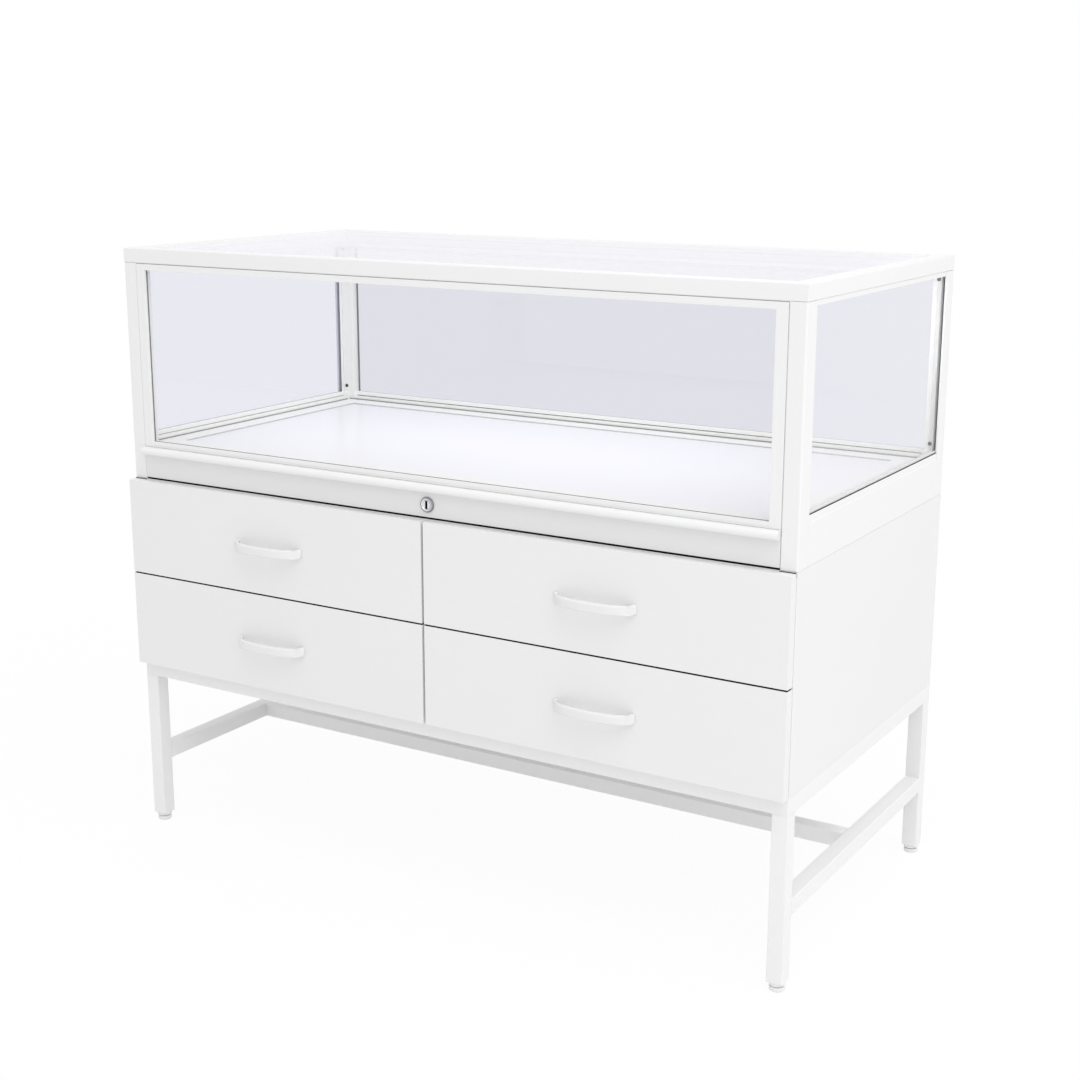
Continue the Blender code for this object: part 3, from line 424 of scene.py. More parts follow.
class Workpiece:
    """One mesh object at the origin, shaped with Blender's edit tools.

    A new workpiece stays in edit mode until `finish` is called.
    """

    def __init__(self, shape: bpy.types.Object, name: str) -> None:
        """Take a mesh object to the bench.

        Args:
            shape: The object.
            name: The name of the piece.
        """
        self.shape = shape
        shape.name = name
        shape.data.name = name
        self._hold()
        bpy.ops.object.mode_set(mode="EDIT")
        bpy.ops.mesh.select_all(action="SELECT")

    def _hold(self) -> None:
        """Make the piece the only selected object, in object mode."""
        clear_selection()
        bpy.context.view_layer.objects.active = self.shape
        self.shape.select_set(True)

    @classmethod
    def block(cls, name: str, low: Point, high: Point) -> Workpiece:
        """Start from a block.

        Args:
            name: The name of the piece.
            low: Its lowest corner.
            high: Its highest corner.

        Returns:
            The workpiece, in edit mode.
        """
        clear_selection()
        bpy.ops.mesh.primitive_cube_add(size=1.0, location=ORIGIN)
        piece = cls(bpy.context.object, name)
        size = [top - bottom for bottom, top in zip(low, high)]
        middle = [(bottom + top) / 2 for bottom, top in zip(low, high)]
        bpy.ops.transform.resize(value=size, center_override=ORIGIN)
        bpy.ops.transform.translate(value=middle)
        return piece

    @classmethod
    def copy_of(cls, name: str, node: bpy.types.Object) -> Workpiece:
        """Start from a copy of a CAD solid, with its loose triangles merged into faces.

        Args:
            name: The name of the piece.
            node: The CAD node's object.

        Returns:
            The workpiece, in edit mode.
        """
        piece = cls(copy_to(node, name, ORIGIN), name)
        bpy.ops.mesh.customdata_custom_splitnormals_clear()
        bpy.ops.mesh.remove_doubles(threshold=MERGE)
        bpy.ops.mesh.dissolve_limited(angle_limit=math.radians(FLAT))
        return piece

    @classmethod
    def turned(
        cls, name: str, profile: Sequence[tuple[float, float]], centre: Point, axis: Axis,
        sides: int = 48, hollow: bool = False,
    ) -> Workpiece:
        """Turn a profile about an axis, by extruding and scaling a circle.

        Args:
            name: The name of the piece.
            profile: Radius and distance along the axis, from one end to the other.
            centre: The point of the axis at distance 0.
            axis: The direction of the axis.
            sides: Sides of the circle.
            hollow: Whether the last circle joins the first, as in a ring.

        Returns:
            The workpiece, in edit mode.
        """
        clear_selection()
        radius, height = profile[0]
        fill = "NOTHING" if hollow else "NGON"
        bpy.ops.mesh.primitive_circle_add(
            vertices=sides, radius=radius, fill_type=fill, location=ORIGIN
        )
        piece = cls(bpy.context.object, name)
        bpy.ops.transform.translate(value=(0.0, 0.0, height))
        for next_radius, next_height in profile[1:]:
            rise = (0.0, 0.0, next_height - height)
            bpy.ops.mesh.extrude_region_move(TRANSFORM_OT_translate={"value": rise})
            ratio = next_radius / radius
            bpy.ops.transform.resize(
                value=(ratio, ratio, 1.0), center_override=(0.0, 0.0, next_height)
            )
            radius, height = next_radius, next_height
        if hollow:
            bpy.ops.mesh.select_all(action="DESELECT")
            bpy.ops.mesh.select_mode(type="EDGE")
            bpy.ops.mesh.select_non_manifold()
            bpy.ops.mesh.bridge_edge_loops()
        turn = Axis.Z.vector().rotation_difference(axis.vector()).to_matrix().to_4x4()
        piece.move(Matrix.Translation(Vector(centre)) @ turn)
        return piece

    def move(self, matrix: Matrix) -> None:
        """Move the whole mesh by a matrix, and leave it selected all over in edit mode.

        Args:
            matrix: The move.
        """
        bpy.ops.object.mode_set(mode="OBJECT")
        self.shape.data.transform(matrix)
        bpy.ops.object.mode_set(mode="EDIT")
        bpy.ops.mesh.select_all(action="SELECT")

    def pick(self, kind: Pick, test: Callable[[Vector, Vector], bool]) -> Workpiece:
        """Select the parts that pass a test.

        Args:
            kind: Whether edges or faces are picked.
            test: Takes a face's middle and normal, or an edge's middle and direction.

        Returns:
            The workpiece itself.
        """
        bpy.ops.mesh.select_mode(type=kind.value)
        bpy.ops.mesh.select_all(action="DESELECT")
        mesh = bmesh.from_edit_mesh(self.shape.data)
        if kind is Pick.FACE:
            chosen = [face for face in mesh.faces if test(face.calc_center_median(), face.normal)]
        else:
            chosen = []
            for edge in mesh.edges:
                first, second = (vertex.co for vertex in edge.verts)
                if test((first + second) / 2, (second - first).normalized()):
                    chosen.append(edge)
        for part in chosen:
            part.select_set(True)
        bmesh.update_edit_mesh(self.shape.data)
        return self

    def ease(self, radius: float, segments: int = 2) -> Workpiece:
        """Round the selected edges.

        Args:
            radius: Radius of the rounding.
            segments: Steps of the rounding.

        Returns:
            The workpiece itself.
        """
        bpy.ops.mesh.bevel(
            offset=radius, segments=segments, profile=0.5, affect="EDGES", clamp_overlap=True
        )
        return self

    def ease_all(self, radius: float, segments: int = 2) -> Workpiece:
        """Round every sharp edge.

        Args:
            radius: Radius of the rounding.
            segments: Steps of the rounding.

        Returns:
            The workpiece itself.
        """
        bpy.ops.mesh.select_mode(type="EDGE")
        bpy.ops.mesh.select_all(action="DESELECT")
        bpy.ops.mesh.edges_select_sharp(sharpness=math.radians(SHARP))
        return self.ease(radius, segments)

    def pierce(self, axis: Axis, margin: float) -> Workpiece:
        """Open a block into a frame.

        Args:
            axis: The direction of the opening.
            margin: The width that is left on each side.

        Returns:
            The workpiece itself.
        """
        across = axis.vector()
        self.pick(Pick.FACE, lambda _, normal: abs(normal.dot(across)) > ALIGNED)
        bpy.ops.mesh.inset(thickness=margin)
        bpy.ops.mesh.bridge_edge_loops()
        return self

    def cut_with(self, cutter: bpy.types.Object) -> Workpiece:
        """Subtract another object.

        Args:
            cutter: The object to subtract, which is used up.

        Returns:
            The workpiece itself, in edit mode.
        """
        self._hold()
        modifier = self.shape.modifiers.new("cut", "BOOLEAN")
        modifier.operation = "DIFFERENCE"
        modifier.solver = "EXACT"
        modifier.object = cutter
        bpy.ops.object.modifier_apply(modifier=modifier.name)
        bpy.data.objects.remove(cutter, do_unlink=True)
        bpy.ops.object.mode_set(mode="EDIT")
        return self

    def finish(self, smooth_degrees: float = SHARP) -> bpy.types.Object:
        """Leave edit mode with outward faces and even, smooth shading.

        Args:
            smooth_degrees: Edges sharper than this stay crisp.

        Returns:
            The finished object.
        """
        bpy.ops.mesh.select_all(action="SELECT")
        bpy.ops.mesh.normals_make_consistent(inside=False)
        bpy.ops.object.mode_set(mode="OBJECT")
        bpy.ops.object.shade_smooth_by_angle(angle=math.radians(smooth_degrees))
        weighted = self.shape.modifiers.new("even_shading", "WEIGHTED_NORMAL")
        weighted.keep_sharp = True
        bpy.ops.object.modifier_apply(modifier=weighted.name)
        return self.shape


def inset(at: Vector, low: Vector, high: Vector) -> float:
    """Return how far a point lies inside the outline of a box, seen from above."""
    return min(at.x - low.x, high.x - at.x, at.y - low.y, high.y - at.y)


def clear_selection() -> None:
    """Leave edit mode and deselect everything."""
    active = bpy.context.view_layer.objects.active
    if active and active.mode != "OBJECT":
        bpy.ops.object.mode_set(mode="OBJECT")
    bpy.ops.object.select_all(action="DESELECT")


def strip(name: str, low: Point, high: Point, radius: float) -> bpy.types.Object:
    """Return a bar between two corners with its edges rounded."""
    return Workpiece.block(name, low, high).ease_all(radius).finish()


def copy_to(shape: bpy.types.Object, name: str, offset: Point) -> bpy.types.Object:
    """Copy an object, with its own mesh and no finish.

    Args:
        shape: The object to copy.
        name: The name of the copy.
        offset: How far the copy is moved.

    Returns:
        The copy.
    """
    duplicate = bpy.data.objects.new(name, shape.data.copy())
    duplicate.data.name = name
    duplicate.data.materials.clear()
    duplicate.data.transform(Matrix.Translation(Vector(offset)))
    bpy.context.scene.collection.objects.link(duplicate)
    return duplicate


def join(name: str, shapes: Sequence[bpy.types.Object]) -> bpy.types.Object:
    """Join finished pieces.

    Args:
        name: The name of the whole.
        shapes: Two or more objects.

    Returns:
        The pieces as one object.
    """
    clear_selection()
    for shape in shapes:
        shape.select_set(True)
    bpy.context.view_layer.objects.active = shapes[0]
    bpy.ops.object.join()
    shapes[0].name = name
    shapes[0].data.name = name
    return shapes[0]


class Bench:
    """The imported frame, and the record of each piece that is made on it."""

    def __init__(self, frame: dict[str, Any]) -> None:
        """Read the bodies and material slots of the nodes.
        """
        record = frame["record"]
        bodies = record["behaviour"]["bodies"]
        self.nodes = frame["nodes"]
        self.body_of = {node: body for body, members in bodies.items() for node in members}
        self.slot_of = {entry["node"]: entry["material_slot"] for entry in record["subparts"]}

    def trim(self, piece: bpy.types.Object, carrier: str, look: Look) -> bpy.types.Object:
        """Dress a piece, and let it ride with the node that carries it.

        Args:
            piece: The finished object.
            carrier: The CAD node that it sits on, which gives its body.
            look: Its finish.

        Returns:
            The piece.
        """
        body = self.body_of[carrier]
        piece.data.materials.append(look.material())
        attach(piece, body)
        LOG.info("%s rides on %s in %s", piece.name, body, look.name)
        return piece

    def stand_in(self, piece: bpy.types.Object, look: Look, *nodes: str) -> bpy.types.Object:
        """Let a piece stand for one or more CAD nodes of a body.

        Args:
            piece: The finished object.
            look: Its finish.
            nodes: The nodes that it replaces.

        Returns:
            The piece.
        """
        self.trim(piece, nodes[0], look)
        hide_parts(*nodes)
        return piece

    def eased(self, node: str, look: Look, radius: float) -> bpy.types.Object:
        """Replace a CAD node by a copy with rounded edges.

        Args:
            node: The node to copy.
            look: Its finish.
            radius: Radius of the rounding.

        Returns:
            The copy.
        """
        copy = Workpiece.copy_of(f"{node}_eased", self.nodes[node]).ease_all(radius)
        return self.stand_in(copy.finish(), look, node)

    def accent(
        self, piece: bpy.types.Object, finish: Finish, test: Callable[[Vector], bool],
    ) -> None:
        """Give a second finish to some faces of a piece.

        Args:
            piece: The dressed object.
            finish: The second finish.
            test: Takes the middle of a face.
        """
        piece.data.materials.append(finish.material())
        for face in piece.data.polygons:
            if test(face.center):
                face.material_index = 1


@dataclass(frozen=True)
class Screw:
    """A pan-head screw with a cross recess, pointing along an axis."""

    radius: float
    height: float
    recess: float = 0.0007
    sink: float = 0.0002
    sides: int = 24
    crown: tuple[tuple[float, float], ...] = ((1.0, 0.45), (0.9, 0.8), (0.6, 1.0))  # shares
    slot_length: float = 0.55  # half, as a share of the radius
    slot_width: float = 0.13  # half, as a share of the radius

    def build(self, name: str, seat: Point, axis: Axis, direction: float) -> bpy.types.Object:
        """Model the head.

        Args:
            name: The name of the piece.
            seat: Middle of the face that the head sits on.
            axis: The axis of the screw.
            direction: +1 or -1, the way the head faces along the axis.

        Returns:
            The finished head.
        """
        rise = self.height * direction
        profile = [(self.radius, -self.sink * direction)]
        profile += [(width * self.radius, level * rise) for width, level in self.crown]
        head = Workpiece.turned(name, profile, seat, axis, self.sides)
        top = Vector(seat) + axis.vector() * rise
        for across in Axis:
            if across is axis:
                continue
            half = Vector([self.slot_width * self.radius] * 3)
            half[across.value] = self.slot_length * self.radius
            half[axis.value] = self.recess
            head.cut_with(Workpiece.block("recess_cutter", top - half, top + half).finish())
        return head.finish(SCREW_SHARP)


@dataclass
class Assembly:
    """A sub-assembly that is made on a bench."""

    bench: Bench


@dataclass
class SteelBase(Assembly):
    """The square-tube base with its glide feet."""

    tube: float = 0.025
    tube_round: float = 0.0015
    weld: float = 0.0005
    foot_profile: tuple[tuple[float, float], ...] = (
        (0.0095, 0.0), (0.0107, 0.0003), (0.0115, 0.0013), (0.0115, 0.0062), (0.0109, 0.0069),
        (0.0075, 0.0070), (0.0075, 0.0090), (0.0116, 0.0090), (0.0120, 0.0094),
        (0.0120, 0.0136), (0.0104, 0.0137), (0.0104, 0.0285),
    )

    def build(self) -> None:
        """Weld the ring, the legs and the stretchers, and turn the feet."""
        self._ring()
        for corner in CORNERS:
            self._welded(f"leg_{corner}", Axis.Z, (0.0, self.weld))
        for side in SIDES:
            self._welded(f"side_stretcher_{side}", Axis.Y, (-self.weld, self.weld))
        self._welded("centre_stretcher", Axis.X, (-self.weld, self.weld))
        self._feet()

    def _ring(self) -> None:
        """Model the four top rails as one ring with ground mitres and rounded corners."""
        rails = [f"base_rail_{side}" for side in (*ENDS, *SIDES)]
        lows, highs = zip(*(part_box(rail) for rail in rails))
        low = [min(values) for values in zip(*lows)]
        high = [max(values) for values in zip(*highs)]
        ring = Workpiece.block("base_ring", low, high).pierce(Axis.Z, self.tube)
        ring.pick(Pick.EDGE, lambda _, along: abs(along.z) > ALIGNED).ease(self.tube_round, 4)
        self.bench.stand_in(ring.finish(), POWDER, *rails)

    def _welded(self, node: str, axis: Axis, grow: tuple[float, float]) -> None:
        """Carry the ends of a tube into the tubes that it is welded to.

        Args:
            node: The tube's CAD node.
            axis: The tube's length.
            grow: How far the low and the high end move along the axis.
        """
        along = axis.vector()
        low, high = (corner[axis.value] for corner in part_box(node))
        middle = (low + high) / 2
        tube = Workpiece.copy_of(f"{node}_welded", self.bench.nodes[node])
        for sign, step in zip((-1.0, 1.0), grow):
            tube.pick(
                Pick.FACE,
                lambda at, facing: facing.dot(along) * sign > ALIGNED
                and (at[axis.value] - middle) * sign > 0.0,
            )
            bpy.ops.transform.translate(value=along * step)
        self.bench.stand_in(tube.finish(), POWDER, node)

    def _feet(self) -> None:
        """Turn one glide foot and set it under each leg."""
        feet = [f"foot_{corner}" for corner in CORNERS]
        low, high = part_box(feet[0])
        centre = ((low.x + high.x) / 2, (low.y + high.y) / 2, 0.0)
        turned = Workpiece.turned("foot_turned", self.foot_profile, centre, Axis.Z)
        first = turned.finish(TURNED_SHARP)
        for node in feet:
            foot = copy_to(first, f"{node}_turned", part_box(node)[0] - low)
            self.bench.stand_in(foot, PLASTIC, node)
        bpy.data.objects.remove(first, do_unlink=True)


@dataclass
class Cabinet(Assembly):
    """The white board cabinet that holds the drawers."""

    edge: float = 0.0006
    filler: float = 0.0003
    seal_height: float = 0.0012
    seal_setback: float = 0.0006
    seal_clearance: float = 0.001
    screw_columns: int = 6
    screw_radius: float = 0.0036
    screw_play: float = 0.0003
    screw_depth: float = 0.0012
    screw_margin: float = 0.012
    screw_from_top: float = 0.008
    screw_from_side: float = 0.006

    def build(self) -> None:
        """Dress the boards and the runners, and add the black seal of painted gap shade and the
        screws.
        """
        self._sides()
        for board in ("bottom", "top", "divider"):
            self.bench.eased(f"cabinet_{board}", LACQUER, self.edge)
        self._back()
        for wall in ("side_left", "divider_left", "divider_right", "side_right"):
            self.bench.eased(f"runner_{wall}", ZINC, SOFT)
        self._dust_seal()

    def _sides(self) -> None:
        """Model the side boards with rounded edges, and with their foot filled to the base."""
        for side in SIDES:
            node = f"cabinet_side_{side}"
            low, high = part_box(node)
            foot = (low.x, low.y, low.z - self.filler)
            board = Workpiece.block(f"{node}_board", foot, high)
            board.pick(Pick.EDGE, lambda at, _: at.z > low.z).ease(self.edge, 3)
            self.bench.stand_in(board.finish(), LACQUER, node)

    def _dust_seal(self) -> None:
        """Lay the black felt strip on the cabinet top, under the tray's lock rail, as painted shade
        in the gap there.
        """
        low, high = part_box("tray_lock_rail")
        board_low, board_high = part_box("cabinet_top")
        seal = strip(
            "dust_seal",
            (low.x, board_low.y + self.seal_setback, board_high.z - SKIN),
            (high.x, high.y - self.seal_clearance, board_high.z + self.seal_height),
            SOFT,
        )
        self.bench.trim(seal, "cabinet_top", FELT_GAP_SHADE)

    def _screw_places(self) -> list[Point]:
        """Lay out the back screws along the four edges of the board.

        Returns:
            The middle of each screw, on the face of the board.
        """
        low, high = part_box("cabinet_back")
        start = low.x + self.screw_margin
        pitch = (high.x - self.screw_margin - start) / (self.screw_columns - 1)
        rows = (high.z - self.screw_from_top, low.z + self.screw_from_top)
        columns = (low.x + self.screw_from_side, high.x - self.screw_from_side)
        thirds = [low.z + (high.z - low.z) * share for share in (1 / 3, 2 / 3)]
        places = [(start + pitch * step, row) for step in range(self.screw_columns) for row in rows]
        places += [(column, level) for level in thirds for column in columns]
        return [(across, high.y, level) for across, level in places]

    def _back(self) -> None:
        """Drill the back board and set a flush screw in each hole."""
        depth = self.screw_depth
        hole = [(self.screw_radius, -depth), (self.screw_radius, depth)]
        shape = Screw(self.screw_radius - self.screw_play, depth)
        drill = Workpiece.turned("drill", hole, ORIGIN, Axis.Y, shape.sides).finish()
        head = shape.build("back_screw", (0.0, -depth, 0.0), Axis.Y, 1.0)
        places = self._screw_places()
        drills = [copy_to(drill, "drill_copy", place) for place in places]
        heads = [copy_to(head, "back_screw_copy", place) for place in places]
        for pattern in (drill, head):
            bpy.data.objects.remove(pattern, do_unlink=True)
        board = Workpiece.copy_of("cabinet_back_drilled", self.bench.nodes["cabinet_back"])
        board.ease_all(self.edge).cut_with(join("drills", drills))
        self.bench.stand_in(board.finish(SCREW_SHARP), LACQUER, "cabinet_back")
        self.bench.trim(join("back_screws", heads), "cabinet_back", ZINC)


@dataclass
class Drawer(Assembly):
    """One drawer: its front, box, bow handle, black strip of painted gap shade, cushions and handle
    screws.
    """

    row: str
    side: str
    first: Drawer | None = None  # the drawer whose handle and screws this one copies
    edge: float = 0.0008
    box_edge: float = 0.0005
    squareness: float = 2.3
    bow_steps: int = 60
    bar_round: float = 0.003
    bar_thickness: float = 0.008
    box_wall: float = 0.012
    strip_height: float = 0.0009
    strip_margin: float = 0.001
    strip_setback: float = 0.0011
    strip_clearance: float = 0.0005
    top_strip: float = 0.006
    top_strip_height: float = 0.0007
    post_strip: float = 0.024
    cushion: float = 0.0018
    cushion_margin: float = 0.0003
    cushion_width: float = 0.010
    cushion_round: float = 0.0004
    divider_cushion: float = 0.004
    screw: Screw = Screw(0.004, 0.0022, 0.001)

    @property
    def name(self) -> str:
        """Return the start of the names of the drawer's nodes."""
        return f"drawer_{self.row}_{self.side}"

    def build(self) -> None:
        """Model and dress the drawer."""
        node = f"{self.name}_front"
        board = Workpiece.block(f"{node}_board", *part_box(node)).ease_all(self.edge, 3)
        self.bench.stand_in(board.finish(), LACQUER, node)
        self.bench.eased(f"{self.name}_box", BOX_BOARD, self.box_edge)
        if self.first:
            bow, screws = (self._copied(ending) for ending in ("handle_bow", "handle_screws"))
        else:
            bow, screws = self._handle(), self._handle_screws()
        self.bench.stand_in(bow, HANDLE_COAT, f"{self.name}_handle")
        self.bench.trim(screws, f"{self.name}_box", ZINC)
        self._cushions()
        self._dust_strip()

    def _copied(self, ending: str) -> bpy.types.Object:
        """Copy a piece of the first drawer's handle to this drawer.

        Args:
            ending: The end of the piece's name.

        Returns:
            The copy.
        """
        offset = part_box(f"{self.name}_handle")[0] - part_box(f"{self.first.name}_handle")[0]
        pattern = bpy.data.objects[f"{self.first.name}_{ending}"]
        return copy_to(pattern, f"{self.name}_{ending}", offset)

    def _bow(self) -> list[Vector]:
        """Lay out the middle line of the handle, a squarish half oval.

        Returns:
            The points from the right end to the left end.
        """
        low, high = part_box(f"{self.name}_handle")
        half_length = (high.x - low.x - self.bar_thickness) / 2
        reach = high.y - low.y - self.bar_thickness / 2
        middle = Vector(((low.x + high.x) / 2, high.y, (low.z + high.z) / 2))
        power = 2 / self.squareness
        path = []
        for step in range(self.bow_steps + 1):
            angle = math.pi * step / self.bow_steps
            across = math.copysign(abs(math.cos(angle)) ** power, math.cos(angle))
            out = max(math.sin(angle), 0.0) ** power
            path.append(middle + Vector((across * half_length, -out * reach, 0.0)))
        return path

    def _handle(self) -> bpy.types.Object:
        """Sweep the bar's rounded section along the bow.

        Returns:
            The handle.
        """
        low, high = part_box(f"{self.name}_handle")
        path = self._bow()
        clear_selection()
        bpy.ops.mesh.primitive_plane_add(size=1.0, location=ORIGIN)
        bar = Workpiece(bpy.context.object, f"{self.name}_handle_bow")
        section = (self.bar_thickness, high.z - low.z, 1.0)
        bpy.ops.transform.resize(value=section, center_override=ORIGIN)
        bpy.ops.mesh.bevel(offset=self.bar_round, segments=4, affect="VERTICES")
        bar.move(Matrix.Translation(path[0]) @ Matrix.Rotation(math.pi / 2, 4, "X"))
        heading = math.pi / 2
        for before, here, after in zip(path, path[1:], path[2:] + [None]):
            bpy.ops.mesh.extrude_region_move(TRANSFORM_OT_translate={"value": here - before})
            next_heading = -math.pi / 2
            if after:
                ahead = after - before
                next_heading = math.atan2(-ahead.y, -ahead.x)
            bpy.ops.transform.rotate(
                value=next_heading - heading, orient_axis="Z", center_override=here
            )
            heading = next_heading
        return bar.finish(BOW_SHARP)

    def _dust_strip(self) -> None:
        """Add the black strip that closes the gap above the front, painted shade of that gap.

        A lower front carries it on its top edge, and an upper front behind it, under the post.
        """
        low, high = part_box(f"{self.name}_front")
        margin = self.strip_margin
        if self.row == "lower":
            near = (low.x + margin, low.y + self.strip_setback, high.z - SKIN)
            far = (high.x - margin, high.y - self.strip_clearance, high.z + self.strip_height)
        else:
            sign = SIDES[self.side]
            outer = (high.x if sign > 0 else low.x) - sign * margin
            xs = sorted((outer, outer - sign * self.post_strip))
            near = (xs[0], high.y - SKIN, high.z - self.top_strip)
            far = (xs[1], high.y + self.cushion, high.z + self.top_strip_height)
        seal = strip(f"{self.name}_dust_strip", near, far, SOFT)
        self.bench.trim(seal, f"{self.name}_front", FELT_GAP_SHADE)

    def _cushions(self) -> None:
        """Stick soft white strips on the back of the front, where it meets the cabinet."""
        low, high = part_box(f"{self.name}_front")
        sign = SIDES[self.side]
        outer, inner = (high.x, low.x) if sign > 0 else (low.x, high.x)
        margin = self.cushion_margin
        spans = (
            (outer - sign * margin, outer - sign * self.cushion_width),
            (inner + sign * margin, inner + sign * self.divider_cushion),
        )
        top = high.z - (self.top_strip if self.row == "upper" else margin)
        shapes = []
        for span in spans:
            start, end = sorted(span)
            near = (start, high.y - SKIN, low.z + margin)
            far = (end, high.y + self.cushion, top)
            shapes.append(strip("cushion", near, far, self.cushion_round))
        self.bench.trim(join(f"{self.name}_cushions", shapes), f"{self.name}_front", CUSHION)

    def _handle_screws(self) -> bpy.types.Object:
        """Set the two screws that hold the handle, inside the drawer box.

        Returns:
            Both heads as one piece.
        """
        low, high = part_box(f"{self.name}_handle")
        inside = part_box(f"{self.name}_box")[0].y + self.box_wall
        seat = (low.x + self.bar_thickness / 2, inside, (low.z + high.z) / 2)
        centres = high.x - low.x - self.bar_thickness
        near = self.screw.build("handle_screw", seat, Axis.Y, 1.0)
        far = copy_to(near, "handle_screw_copy", (centres, 0.0, 0.0))
        return join(f"{self.name}_handle_screws", [near, far])


@dataclass
class Pane:
    """An upright pane of the vitrine, in the opening between two posts."""

    name: str
    normal: Axis
    sign: float
    span: tuple[float, float]

    @property
    def faces(self) -> tuple[float, float]:
        """Return the places of the inner and the outer face along the normal."""
        low, high = (corner[self.normal.value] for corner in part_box(f"glass_{self.name}"))
        return (low, high) if self.sign > 0 else (high, low)

    @property
    def lip(self) -> float:
        """Return the height of the rail's outer lip, at the foot of the pane."""
        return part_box(f"bottom_rail_{self.name}")[1].z

    def bar(
        self, name: str, face: float, out: float, along: Point, heights: Point, radius: float,
    ) -> bpy.types.Object:
        """Make a strip on a face that is parallel to the pane.

        Args:
            name: The name of the strip.
            face: The place of the face along the normal.
            out: How far the strip stands out of it, above 0 away from the case.
            along: Its start and end along the pane.
            heights: Its bottom and top.
            radius: The rounding of its edges.

        Returns:
            The finished strip.
        """
        reach = out * self.sign
        depth = sorted((face - math.copysign(SKIN, reach), face + reach))
        corners = []
        for across, length, height in zip(depth, along, heights):
            flat = (across, length) if self.normal is Axis.X else (length, across)
            corners.append((*flat, height))
        return strip(name, *corners, radius)


